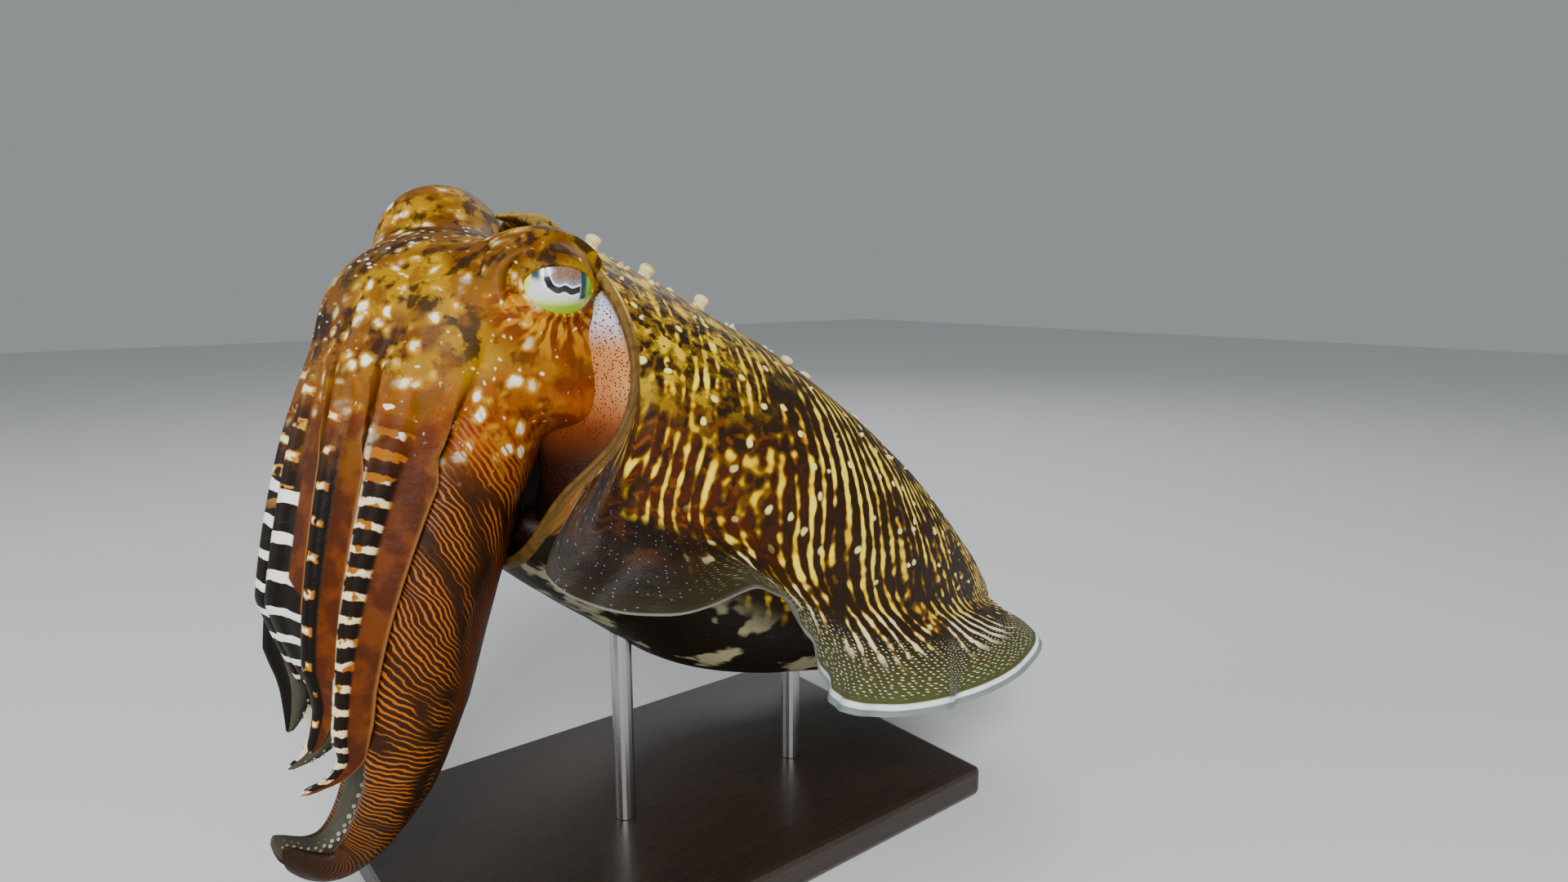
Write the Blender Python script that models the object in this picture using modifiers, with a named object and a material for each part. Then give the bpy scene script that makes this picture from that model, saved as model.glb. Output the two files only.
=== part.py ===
"""Broadclub cuttlefish, a still life-size model held by a display stand.

Metres, +Z up. The animal faces -X, its left side faces -Y. The origin is the centre of the
stand base's underside. The flesh is divided where a person would name its parts, and touching
parts keep a gap of 0.3 mm.
"""
import math
import random

import bmesh
import bpy
import numpy as np
from mathutils import Matrix, Vector

GAP = 0.0003

# Mantle: its axis starts at the dorsal tip, between the eyes, and ends at the tail.
MANTLE_LENGTH = 0.365
MANTLE_TIP = Vector((-0.066, 0.006, 0.300))
MANTLE_PITCH = math.radians(37.4)
MANTLE_YAW = math.radians(-4.6)
MANTLE_ROLL = math.radians(-6.0)
MANTLE_HALF_WIDTH = [(0.0, 0.056), (0.17, 0.072), (0.35, 0.081), (0.5, 0.081), (0.7, 0.066),
                     (0.85, 0.044), (0.95, 0.022), (1.0, 0.007)]
MANTLE_HALF_DEPTH = [(0.0, 0.060), (0.17, 0.070), (0.35, 0.076), (0.5, 0.076), (0.7, 0.058),
                     (0.85, 0.034), (0.95, 0.016), (1.0, 0.005)]
MANTLE_ARCH = [(0.0, 0.0), (0.2, 0.013), (0.4, 0.022), (0.6, 0.022), (0.8, 0.013), (1.0, 0.002)]
# Station of the front margin at angles from the dorsal line, in degrees.
MARGIN = [(0, 0.0), (20, 0.016), (50, 0.088), (90, 0.162), (125, 0.160), (155, 0.185), (180, 0.205)]
# Power of the sine and cosine of a section: below 1 it is fuller than an ellipse.
MANTLE_FULLNESS = 0.92
LIP_THICKNESS = 0.0035
WALL_THICKNESS = 0.009
RECESS_FLOOR = (0.15, 0.30)
LIP_ROUNDING = 0.0006
LIP_ROW = 0.004
MANTLE_COLUMNS = 32
MANTLE_ROWS = 16
# Power of the rows' spacing: above 1 they are closer together at the tail.
MANTLE_ROW_POWER = 1.25

# Fins: width and the angle of the free edge, 0 straight out from the body, -90 hanging down.
FIN_START = 0.132
FIN_ROOT_ANGLE = [(0.15, 119), (0.3, 110), (0.6, 104), (0.85, 97), (1.0, 92)]
FIN_WIDTH = [(0.132, 0.008), (0.15, 0.030), (0.2, 0.042), (0.4, 0.044), (0.52, 0.051), (0.62, 0.056),
             (0.8, 0.056), (0.93, 0.056), (1.0, 0.048)]
FIN_EDGE_LEFT = [(0.15, -92), (0.22, -90), (0.27, -60), (0.32, -16), (0.38, -22), (0.47, -54),
                 (0.56, -84), (0.63, -82), (0.72, -58), (0.79, -70), (0.86, -46), (0.94, -22), (1.0, -4)]
FIN_EDGE_RIGHT = [(0.15, -80), (0.24, -50), (0.32, -30), (0.42, -66), (0.50, -88), (0.58, -76),
                  (0.68, -40), (0.78, -62), (0.86, -44), (0.94, -14), (1.0, 8)]
FIN_ROOT_THICKNESS = 0.0034
FIN_EDGE_THICKNESS = 0.0010
FIN_STOP = 0.995
FIN_ROOT_BEND = math.radians(-28)
# Share of the width over which the fin turns from its root's direction to that of its edge.
FIN_TURN_SHARE = 0.625
FIN_ROWS = 34
FIN_COLUMNS = 5

# Eyes: centre of each opening, on the skin.
EYE_LEFT = Vector((-0.073, -0.049, 0.270))
EYE_RIGHT = Vector((-0.080, 0.068, 0.290))
EYE_RADIUS = 0.0165
EYE_SUNK = 0.0125
EYE_FORWARD_LEAN = 0.12
EYE_SEGMENTS = 16
EYE_RINGS = 10

# Head: soft blend of ellipsoids.
HEAD_CENTRE = Vector((-0.094, 0.008, 0.246))
HEAD_BLEND = 0.016
HEAD_REACH = (0.02, 0.13)
HEAD_STEPS = 220
LID_RADIUS = 0.0145
LID_STRETCH = (1.08, 0.86)
LID_FOLD = 0.0026
LID_SUNK = 0.0045
HEAD_SEGMENTS = 24
HEAD_RINGS = 18
NECK_SETBACK = 0.050
NECK_SIDES = 24
NECK_INSET = 0.018
NECK_FRONT = (0.040, 0.025)
NECK_LIFT = 0.012
NECK_INSET_BELOW = 0.026
NECK_BULGE = 0.004
NECK_ROWS = 4
FUNNEL_INSET = 0.026
FUNNEL_FRONT = Vector((-0.074, 0.004, 0.167))
FUNNEL_REAR_STATION = 0.30
FUNNEL_FLATNESS = 1.25
# Share of the funnel's length and radius, outside to the mouth and back inside.
FUNNEL_PLAN = [(-0.15, 0.0150), (0.3, 0.0140), (0.7, 0.0115), (1.0, 0.0090), (1.0, 0.0062),
               (0.55, 0.0058)]
FUNNEL_SIDES = 16

# Arm crown: the axis of the bundle of eight arms, from the head down to the curled tips.
CROWN_AXIS = [(-0.104, 0.007, 0.226), (-0.119, 0.003, 0.192), (-0.134, -0.004, 0.150),
              (-0.143, -0.009, 0.110), (-0.149, -0.013, 0.080), (-0.163, -0.016, 0.058),
              (-0.181, -0.018, 0.067)]
CROWN_RADIUS = [(0.0, 0.049), (0.2, 0.047), (0.4, 0.042), (0.55, 0.036), (0.7, 0.026), (0.85, 0.014),
                (1.0, 0.006)]
CROWN_SIDE_SCALE = 1.08
CROWN_LENGTH = 0.20
CROWN_HOLLOW = 0.005
# The arms' borders round the crown, in degrees from the front, positive to the left, at the root
# and lower down, where the bundle is twisted to the left.
BORDERS_ROOT = {1: (-8, 17, 41, 81, 183), -1: (-8, -42, -74, -108, -177)}
BORDERS_LOW = {1: (3, 35, 51, 68, 188), -1: (3, -24, -58, -94, -172)}
TWIST_END = 0.45
# Per pair: where the arm ends along the bundle, its radial depth at the root, the share of its
# depth that its rear edge loses to a thin keel, and how far forward its tip swings.
ARM_PLANS = {
    1: (0.47, 0.028, 0.15, -0.002),
    2: (0.57, 0.028, 0.20, 0.008),
    3: (0.69, 0.029, 0.35, 0.018),
    4: (1.00, 0.030, 0.55, 0.000),
}
# Width of an arm of pairs 1 to 3, and of the broad lowest pair.
ARM_WIDTH = (0.040, 0.046)
ARM_GAP = 0.0006
ARM_CUTS = {1: (0.5,), 2: (0.5,), 3: (0.5,), 4: (0.36, 0.7)}
ARM_NAMES = {1: ("root", "tip"), 2: ("root", "tip"), 3: ("root", "tip"), 4: ("root", "mid", "tip")}
ARM_RINGS = 10
ARM_SIDES = 12
SUCKERS_PER_ROW = 6
SUCKER_SPAN = (0.2, 0.86)
SUCKER_ROW_ANGLE = 0.62
SUCKER_STAGGER = 0.012
SUCKER_RADIUS = 0.0030
# Largest radius of a sucker as a share of the oral face's half width.
SUCKER_ROOM = 0.26
SUCKER_SIDES = 5

# Papillae of the back: station, angle from the dorsal line in degrees, radius and height.
PAPILLAE = [(0.080, 14, 0.0030, 0.0052), (0.155, 13, 0.0030, 0.0056), (0.235, 14, 0.0030, 0.0058),
            (0.300, -14, 0.0028, 0.0042), (0.390, 13, 0.0028, 0.0040), (0.430, 12, 0.0026, 0.0036),
            (0.545, 11, 0.0030, 0.0038), (0.660, -8, 0.0026, 0.0032), (0.200, -16, 0.0030, 0.0054),
            (0.500, -16, 0.0026, 0.0034)]
SMALL_PAPILLAE = 10
# Leaf at the mantle's front tip: its station, lift and half sizes along, across and upwards.
LEAF_STATION = 0.035
LEAF_LIFT = 0.0015
LEAF_HALF_SIZE = (0.020, 0.010, 0.0035)

# Stand.
BASE_SIZE = (0.28, 0.18, 0.016)
BASE_BEVEL = 0.003
ROD_RADIUS = 0.005
ROD_STATIONS = {"stand_rod_front": 0.40, "stand_rod_rear": 0.68}
ROD_OVERLAP = 0.02


def profile(points, x):
    """Smooth curve through (x, value) pairs, flat beyond its ends."""
    xs = [p[0] for p in points]
    ys = [p[1] for p in points]
    if x <= xs[0]:
        return ys[0]
    if x >= xs[-1]:
        return ys[-1]
    i = max(k for k in range(len(xs) - 1) if xs[k] <= x)
    slopes = []
    for k in (i, i + 1):
        lo = max(k - 1, 0)
        hi = min(k + 1, len(xs) - 1)
        slopes.append((ys[hi] - ys[lo]) / (xs[hi] - xs[lo]))
    step = xs[i + 1] - xs[i]
    t = (x - xs[i]) / step
    return ((2 * t**3 - 3 * t**2 + 1) * ys[i] + (t**3 - 2 * t**2 + t) * step * slopes[0]
            + (3 * t**2 - 2 * t**3) * ys[i + 1] + (t**3 - t**2) * step * slopes[1])


def signed_power(value, power):
    """Power of a value's size, with the value's sign."""
    return math.copysign(abs(value) ** power, value)


def mantle_frame():
    """Unit vectors of the mantle: towards the tail, to its left and to its back."""
    tail = Vector((math.cos(MANTLE_PITCH) * math.cos(MANTLE_YAW),
                   math.cos(MANTLE_PITCH) * math.sin(MANTLE_YAW), -math.sin(MANTLE_PITCH)))
    up = Vector((0, 0, 1))
    back = (up - tail * up.dot(tail)).normalized()
    back = Matrix.Rotation(MANTLE_ROLL, 3, tail) @ back
    return tail, tail.cross(back), back


TAIL, LEFT, BACK = mantle_frame()


def mantle_centre(s):
    drop = profile(MANTLE_ARCH, s) - profile(MANTLE_HALF_DEPTH, s)
    return MANTLE_TIP + TAIL * MANTLE_LENGTH * s + BACK * drop


def mantle_point(s, angle, grow=0.0):
    """Point of the mantle's skin; angle in radians from the dorsal line, positive to the left."""
    half_width = profile(MANTLE_HALF_WIDTH, s) + grow
    half_depth = profile(MANTLE_HALF_DEPTH, s) + grow
    side = signed_power(math.sin(angle), MANTLE_FULLNESS)
    rise = signed_power(math.cos(angle), MANTLE_FULLNESS)
    return mantle_centre(s) + LEFT * half_width * side + BACK * half_depth * rise


def margin(angle):
    """Station of the mantle's front edge at an angle."""
    return profile(MARGIN, abs(math.degrees(angle)))


def mantle_stations(rows):
    """Fractions from the margin to the tail, closer together at the tail."""
    return [1 - (1 - k / rows) ** MANTLE_ROW_POWER for k in range(rows + 1)]


def mantle_rings(grow):
    """Closed rings from the floor of the front recess, round the lip and back to the tail."""
    angles = [2 * math.pi * k / MANTLE_COLUMNS - math.pi for k in range(MANTLE_COLUMNS)]
    rings = []
    for depth in (1.0, 0.66, 0.33):
        ring = []
        for a in angles:
            s = margin(a) + (recess_floor(a) - margin(a)) * depth
            wall = LIP_THICKNESS + (WALL_THICKNESS - LIP_THICKNESS) * depth
            ring.append(mantle_point(s - grow * depth * 1.2 / MANTLE_LENGTH, a, -wall - grow))
        rings.append(ring)
    rings.append([mantle_point(margin(a), a, -LIP_THICKNESS - grow) - TAIL * grow for a in angles])
    rings.append([mantle_point(margin(a), a, grow - LIP_ROUNDING) - TAIL * grow for a in angles])
    for t in mantle_stations(MANTLE_ROWS):
        ring = []
        for a in angles:
            start = margin(a) + LIP_ROW
            ring.append(mantle_point(min(start + (1 - start) * t, 1.0), a, grow))
        rings.append(ring)
    return rings


def mesh_object(name, bm, collection):
    bmesh.ops.recalc_face_normals(bm, faces=bm.faces)
    mesh = bpy.data.meshes.new(name)
    bm.to_mesh(mesh)
    bm.free()
    result = bpy.data.objects.new(name, mesh)
    collection.objects.link(result)
    return result


def loft(name, rings, collection):
    """Closed solid through rings of equal count, each end closed by a fan."""
    bm = bmesh.new()
    rows = [[bm.verts.new(p) for p in ring] for ring in rings]
    count = len(rings[0])
    for near, far in zip(rows, rows[1:]):
        for k in range(count):
            n = (k + 1) % count
            bm.faces.new((near[k], near[n], far[n], far[k]))
    for row in (rows[0], rows[-1]):
        centre = bm.verts.new(sum((v.co for v in row), Vector()) / count)
        for k in range(count):
            bm.faces.new((row[k], row[(k + 1) % count], centre))
    bmesh.ops.triangulate(bm, faces=bm.faces)
    return mesh_object(name, bm, collection)


def largest_body(bm):
    """Keep only the closed surface that holds the most volume."""
    groups = []
    left = set(bm.verts)
    while left:
        group = set()
        stack = [left.pop()]
        while stack:
            vert = stack.pop()
            group.add(vert)
            for edge in vert.link_edges:
                other = edge.other_vert(vert)
                if other in left:
                    left.remove(other)
                    stack.append(other)
        groups.append(group)

    def volume(group):
        faces = {f for v in group for f in v.link_faces}
        return sum(f.calc_area() * f.normal.dot(f.calc_center_median()) for f in faces) / 3

    keep = max(groups, key=volume)
    bmesh.ops.delete(bm, geom=[v for v in bm.verts if v not in keep], context="VERTS")


def boolean(target, others, operation, solver):
    """Join or cut the target by a collection of closed meshes, then remove these."""
    group = bpy.data.collections.new(target.name + "_pieces")
    bpy.context.scene.collection.children.link(group)
    for other in others:
        for owner in list(other.users_collection):
            owner.objects.unlink(other)
        group.objects.link(other)
    modifier = target.modifiers.new(operation.title(), "BOOLEAN")
    modifier.operation = operation
    modifier.operand_type = "COLLECTION"
    modifier.collection = group
    modifier.solver = solver
    graph = bpy.context.evaluated_depsgraph_get()
    mesh = bpy.data.meshes.new_from_object(target.evaluated_get(graph))
    target.modifiers.clear()
    bm = bmesh.new()
    bm.from_mesh(mesh)
    bmesh.ops.triangulate(bm, faces=bm.faces)
    largest_body(bm)
    bmesh.ops.dissolve_degenerate(bm, dist=1e-6, edges=bm.edges)
    bmesh.ops.triangulate(bm, faces=bm.faces)
    bm.to_mesh(target.data)
    bm.free()
    for other in list(group.objects):
        bpy.data.objects.remove(other)
    bpy.data.collections.remove(group)


def fin_root(s, side):
    """Root of a fin at a station, just off the skin."""
    angle = side * math.radians(profile(FIN_ROOT_ANGLE, s))
    root = mantle_point(s, angle)
    skin = (root - mantle_point(s, angle - side * 0.01)) * side
    along = mantle_point(min(s + 0.01, 1), angle) - mantle_point(s - 0.01, angle)
    outward = along.cross(skin).normalized() * side
    if outward.dot(root - mantle_centre(s)) < 0:
        outward = -outward
    return root + outward * (GAP + 0.0002)


def fin_row(s, side, edge):
    """Pairs of points, upper and lower face, from a fin's root to its edge."""
    width = profile(FIN_WIDTH, s)
    tip = math.radians(profile(edge, s))
    point = fin_root(s, side)
    row = []
    for k in range(FIN_COLUMNS + 1):
        share = k / FIN_COLUMNS
        bend = FIN_ROOT_BEND + (tip - FIN_ROOT_BEND) * min(1.0, share / FIN_TURN_SHARE)
        direction = LEFT * side * math.cos(bend) + BACK * math.sin(bend)
        normal = BACK * math.cos(bend) - LEFT * side * math.sin(bend)
        thick = FIN_ROOT_THICKNESS + (FIN_EDGE_THICKNESS - FIN_ROOT_THICKNESS) * share
        if k:
            point = point + direction * width / FIN_COLUMNS
        row.append((point + normal * thick / 2, point - normal * thick / 2))
    return row


def build_fin(side, edge, collection):
    """Thin wavy sheet from the mantle's side; both faces share their diagonals."""
    name = "fin_left" if side > 0 else "fin_right"
    bm = bmesh.new()
    grid = []
    for k in range(FIN_ROWS + 1):
        row = fin_row(FIN_START + (FIN_STOP - FIN_START) * k / FIN_ROWS, side, edge)
        grid.append([(bm.verts.new(upper), bm.verts.new(lower)) for upper, lower in row])

    def quad(a, b, c, d):
        bm.faces.new((a, b, c))
        bm.faces.new((a, c, d))

    for near, far in zip(grid, grid[1:]):
        for k in range(FIN_COLUMNS):
            for f in (0, 1):
                quad(near[k][f], near[k + 1][f], far[k + 1][f], far[k][f])
        for k in (0, FIN_COLUMNS):
            quad(near[k][0], near[k][1], far[k][1], far[k][0])
    for row in (grid[0], grid[-1]):
        for k in range(FIN_COLUMNS):
            quad(row[k][0], row[k + 1][0], row[k + 1][1], row[k][1])
    return mesh_object(name, bm, collection)


def eye_axis(eye, other):
    """Direction in which an eye looks: sideways, a little forward."""
    return ((eye - other).normalized() - Vector((EYE_FORWARD_LEAN, 0, 0))).normalized()


def head_frame():
    """Front, side and up vectors of the head, rolled so that the left eye is the lower one."""
    side = (EYE_LEFT - EYE_RIGHT).normalized()
    up = (Vector((0, 0, 1)) - side * side.z).normalized()
    return up.cross(side).normalized(), side, up


def head_blobs():
    """Centres and radii, front, side and up, of the ellipsoids that the head is blended from."""
    left = eye_axis(EYE_LEFT, EYE_RIGHT)
    right = eye_axis(EYE_RIGHT, EYE_LEFT)
    return [
        (HEAD_CENTRE + Vector((0.000, 0.005, 0.003)), (0.041, 0.050, 0.040)),
        ((EYE_LEFT + EYE_RIGHT) / 2 + Vector((-0.008, 0, -0.016)), (0.030, 0.056, 0.024)),
        (EYE_LEFT - left * 0.020 - Vector((0, 0, 0.001)), (0.0255, 0.0225, 0.0220)),
        (EYE_RIGHT - right * 0.020 + Vector((-0.006, 0, 0.001)), (0.0280, 0.0250, 0.0270)),
        (HEAD_CENTRE + Vector((0.024, -0.028, -0.025)), (0.031, 0.026, 0.036)),
        (HEAD_CENTRE + Vector((0.016, 0.038, -0.012)), (0.030, 0.024, 0.032)),
        (HEAD_CENTRE + Vector((-0.012, 0.002, 0.010)), (0.036, 0.040, 0.028)),
        (Vector(CROWN_AXIS[0]), (0.049, 0.052, 0.036)),
        (HEAD_CENTRE + TAIL * 0.030 - BACK * 0.004, (0.034, 0.048, 0.036)),
    ]


def head_field(points):
    """Signed distance, roughly, to the blend of the head's ellipsoids."""
    axes = np.array([tuple(v) for v in head_frame()]).T
    total = None
    for centre, radii in head_blobs():
        local = (points - np.array(centre)) @ axes / np.array(radii)
        size = np.linalg.norm(local, axis=1)
        scale = np.linalg.norm(local / np.array(radii), axis=1)
        value = size * (size - 1) / np.maximum(scale, 1e-9)
        if total is None:
            total = value
        else:
            h = np.clip(0.5 + 0.5 * (total - value) / HEAD_BLEND, 0, 1)
            total = total * (1 - h) + value * h - HEAD_BLEND * h * (1 - h)
    return total


def head_radius(directions):
    """Distance from the head's centre to its skin along unit directions."""
    reach = np.linspace(*HEAD_REACH, HEAD_STEPS)
    centre = np.array(HEAD_CENTRE)
    result = np.full(len(directions), reach[0])
    last = head_field(centre + directions * reach[0])
    for a, b in zip(reach, reach[1:]):
        value = head_field(centre + directions * b)
        leaving = (last <= 0) & (value > 0)
        result[leaving] = a + (b - a) * (-last[leaving]) / (value[leaving] - last[leaving])
        last = value
    return result


def crown_centre(t):
    """Point of the arm bundle's axis at fraction t of its length."""
    count = len(CROWN_AXIS) - 1
    share = min(max(t, 0.0), 1.0)
    return Vector([profile([(k / count, place[i]) for k, place in enumerate(CROWN_AXIS)], share)
                   for i in range(3)])


def crown_frame(t):
    """Centre, axis, front and left vectors of the arm bundle at fraction t of its length."""
    centre = crown_centre(t)
    axis = (crown_centre(t + 0.01) - crown_centre(t - 0.01)).normalized()
    left = Vector((0.0, -1.0, -0.06))
    left = (left - axis * left.dot(axis)).normalized()
    return centre, axis, axis.cross(left), left


def cut_by_plane(bm, point, normal):
    """Remove what lies ahead of a plane and close the cut."""
    geometry = bm.verts[:] + bm.edges[:] + bm.faces[:]
    bmesh.ops.bisect_plane(bm, geom=geometry, plane_co=point, plane_no=normal, clear_outer=True)
    edges = [e for e in bm.edges if e.is_boundary]
    bmesh.ops.holes_fill(bm, edges=edges, sides=0)


def build_head(collection):
    bm = bmesh.new()
    bmesh.ops.create_uvsphere(bm, u_segments=HEAD_SEGMENTS, v_segments=HEAD_RINGS, radius=1.0)
    axis = (EYE_LEFT - EYE_RIGHT).normalized()
    turn = Vector((0, 0, 1)).rotation_difference(axis).to_matrix()
    bmesh.ops.rotate(bm, cent=(0, 0, 0), matrix=turn, verts=bm.verts)
    directions = np.array([v.co.normalized() for v in bm.verts])
    radii = head_radius(directions)
    for vert, direction, radius in zip(bm.verts, directions, radii):
        vert.co = HEAD_CENTRE + Vector(direction) * radius
    centre, down, _, _ = crown_frame(0.0)
    cut_by_plane(bm, centre - down * GAP, down)
    cut_by_plane(bm, neck_plane() - TAIL * GAP, TAIL)
    bmesh.ops.triangulate(bm, faces=bm.faces)
    return mesh_object("head", bm, collection)


def neck_plane():
    """Point of the plane between head and neck."""
    return HEAD_CENTRE + TAIL * NECK_SETBACK


def recess_floor(angle):
    """Station of the floor of the mantle's front recess."""
    mix = (1 - math.cos(angle)) / 2
    return RECESS_FLOOR[0] * (1 - mix) + RECESS_FLOOR[1] * mix


def build_neck(collection, grow=0.0):
    """Neck from the floor of the mantle's recess to the back of the head."""
    rings = []
    for row in range(NECK_ROWS + 1):
        t = row / NECK_ROWS
        ring = []
        for k in range(NECK_SIDES):
            a = 2 * math.pi * k / NECK_SIDES
            outward = LEFT * math.sin(a) + BACK * math.cos(a)
            inset = NECK_INSET + NECK_INSET_BELOW * max(0.0, -math.cos(a)) ** 2
            floor = mantle_point(recess_floor(a), a, -inset) - TAIL * (GAP * 1.5 - grow)
            front = neck_plane() + LEFT * NECK_FRONT[0] * math.sin(a)
            front += BACK * (NECK_FRONT[1] * math.cos(a) + NECK_LIFT)
            bulge = NECK_BULGE * math.sin(math.pi * t) + grow
            ring.append((front - TAIL * grow).lerp(floor, t) + outward * bulge)
        rings.append(ring)
    return loft("neck", rings, collection)


def build_funnel(collection):
    """Tapered tube under the neck, open at its front."""
    rear = mantle_point(FUNNEL_REAR_STATION, math.pi, -FUNNEL_INSET)
    axis = (FUNNEL_FRONT - rear).normalized()
    side = (LEFT - axis * LEFT.dot(axis)).normalized()
    up = side.cross(axis)
    length = (FUNNEL_FRONT - rear).length
    angles = [2 * math.pi * k / FUNNEL_SIDES for k in range(FUNNEL_SIDES)]
    rings = []
    for t, radius in FUNNEL_PLAN:
        centre = rear + axis * length * t
        rings.append([centre + side * radius * FUNNEL_FLATNESS * math.sin(a) + up * radius * math.cos(a)
                      for a in angles])
    return loft("funnel", rings, collection)


def egg(place, axes, sizes, collection):
    """Ellipsoid of few faces: its centre, its three axes and its half sizes along them."""
    bm = bmesh.new()
    bmesh.ops.create_uvsphere(bm, u_segments=6, v_segments=4, radius=1.0)
    for vert in bm.verts:
        vert.co = place + sum((axis * size * c for axis, size, c in zip(axes, sizes, vert.co)), Vector())
    bmesh.ops.triangulate(bm, faces=bm.faces)
    return mesh_object("papilla", bm, collection)


def knob(s, angle, radius, height, collection):
    """Papilla of the back, its lower half sunk into the skin."""
    normal = (BACK * math.cos(angle) + LEFT * math.sin(angle)).normalized()
    turn = Vector((0, 0, 1)).rotation_difference(normal).to_matrix()
    return egg(mantle_point(s, angle), list(turn.transposed()), (radius, radius, height), collection)


def mantle_papillae(collection):
    """Large knobs along the back and small ones beside them, and the leaf at the front tip."""
    draw = random.Random(7)
    made = []
    for s, degrees, radius, height in PAPILLAE:
        made.append(knob(s, math.radians(degrees), radius, height, collection))
    for k in range(SMALL_PAPILLAE):
        s = 0.12 + 0.8 * (k + draw.uniform(0.2, 0.8)) / SMALL_PAPILLAE
        angle = math.radians(draw.choice((-1, 1)) * draw.uniform(12, 40))
        radius = draw.uniform(0.0012, 0.0020)
        made.append(knob(s, angle, radius, radius * 1.5, collection))
    leaf = mantle_point(LEAF_STATION, 0.0) + BACK * LEAF_LIFT
    made.append(egg(leaf, (TAIL, LEFT, BACK), LEAF_HALF_SIZE, collection))
    return made


def build_stand(cutter, collection):
    """Flat base and two rods that end on the belly."""
    bm = bmesh.new()
    bmesh.ops.create_cube(bm, size=1.0)
    bmesh.ops.scale(bm, vec=BASE_SIZE, verts=bm.verts)
    bmesh.ops.translate(bm, vec=(0, 0, BASE_SIZE[2] / 2), verts=bm.verts)
    base = mesh_object("stand_base", bm, collection)
    bevel = base.modifiers.new("Rounded edges", "BEVEL")
    bevel.width = BASE_BEVEL
    bevel.segments = 2
    made = [base]
    for name, s in ROD_STATIONS.items():
        belly = mantle_point(s, math.pi)
        height = belly.z + ROD_OVERLAP - BASE_SIZE[2]
        bm = bmesh.new()
        bmesh.ops.create_cone(bm, cap_ends=True, segments=16, radius1=ROD_RADIUS, radius2=ROD_RADIUS,
                              depth=height)
        middle = Vector((belly.x, belly.y, BASE_SIZE[2] + GAP + height / 2))
        bmesh.ops.translate(bm, vec=middle, verts=bm.verts)
        bmesh.ops.triangulate(bm, faces=bm.faces)
        rod = mesh_object(name, bm, collection)
        boolean(rod, [copy_of(cutter, collection)], "DIFFERENCE", "EXACT")
        made.append(rod)
    return made


def copy_of(original, collection):
    """A mesh copy of an object, to be used up by one cut."""
    twin = bpy.data.objects.new(original.name + "_copy", original.data.copy())
    collection.objects.link(twin)
    return twin


def lid_ring(eye, other, collection):
    """Fold of skin round an eye's opening, wider than high."""
    axis = eye_axis(eye, other)
    bpy.ops.mesh.primitive_torus_add(major_segments=18, minor_segments=6, major_radius=LID_RADIUS,
                                     minor_radius=LID_FOLD)
    ring = bpy.context.object
    along = -TAIL - axis * -TAIL.dot(axis)
    along.normalize()
    up = axis.cross(along)
    place = eye - axis * LID_SUNK
    for vert in ring.data.vertices:
        flat = vert.co.copy()
        vert.co = place + along * flat.x * LID_STRETCH[0] + up * flat.y * LID_STRETCH[1] + axis * flat.z
    for owner in list(ring.users_collection):
        owner.objects.unlink(ring)
    collection.objects.link(ring)
    return ring


def build_eye(name, eye, other, collection, grow=0.0):
    """Eyeball, a little more sunk than its opening."""
    axis = eye_axis(eye, other)
    bm = bmesh.new()
    bmesh.ops.create_uvsphere(bm, u_segments=EYE_SEGMENTS, v_segments=EYE_RINGS,
                              radius=EYE_RADIUS + grow)
    turn = Vector((0, 0, 1)).rotation_difference(axis).to_matrix()
    bmesh.ops.rotate(bm, cent=(0, 0, 0), matrix=turn, verts=bm.verts)
    bmesh.ops.translate(bm, vec=eye - axis * EYE_SUNK, verts=bm.verts)
    bmesh.ops.triangulate(bm, faces=bm.faces)
    return mesh_object(name, bm, collection)


def arm_sector(pair, side, t):
    """Angles in radians of an arm's two borders, front and rear, at t."""
    mix = min(t / TWIST_END, 1.0)
    root, low = BORDERS_ROOT[side], BORDERS_LOW[side]
    return [math.radians(root[k] * (1 - mix) + low[k] * mix) for k in (pair - 1, pair)]


def crown_point(t, radius, angle, forward=0.0):
    """Point of the bundle's plane at t, in polar coordinates from its axis."""
    centre, _, front, left = crown_frame(t)
    return (centre + front * (radius * math.cos(angle) + forward)
            + left * radius * math.sin(angle) * CROWN_SIDE_SCALE)


def arm_measures(pair, side, t):
    """Outer radius, depth, middle angle and half angle of an arm's section at t."""
    end, depth, _, _ = ARM_PLANS[pair]
    f = t / end
    taper = (1 - f ** 2.2) ** 0.8 * 0.95 + 0.05
    outer = profile(CROWN_RADIUS, t)
    if pair < 4:
        outer *= 1 - 0.35 * max(0.0, f - 0.75) / 0.25
    depth = min(depth * taper, max(outer - CROWN_HOLLOW, 0.0015))
    front_edge, rear_edge = arm_sector(pair, side, t)
    middle = (front_edge + rear_edge) / 2
    limit = abs(rear_edge - front_edge) / 2
    radius = max(outer - depth / 2, 0.002)
    half = ARM_WIDTH[pair > 3] * taper / 2 / radius
    if pair == 4:
        half = min(half + 0.6 * max(0.0, 0.35 - f), limit)
        middle -= side * 0.85 * (limit - half)
    half = min(half, limit) - ARM_GAP / 2 / max(radius, 0.006)
    return outer, depth, middle, half


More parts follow.
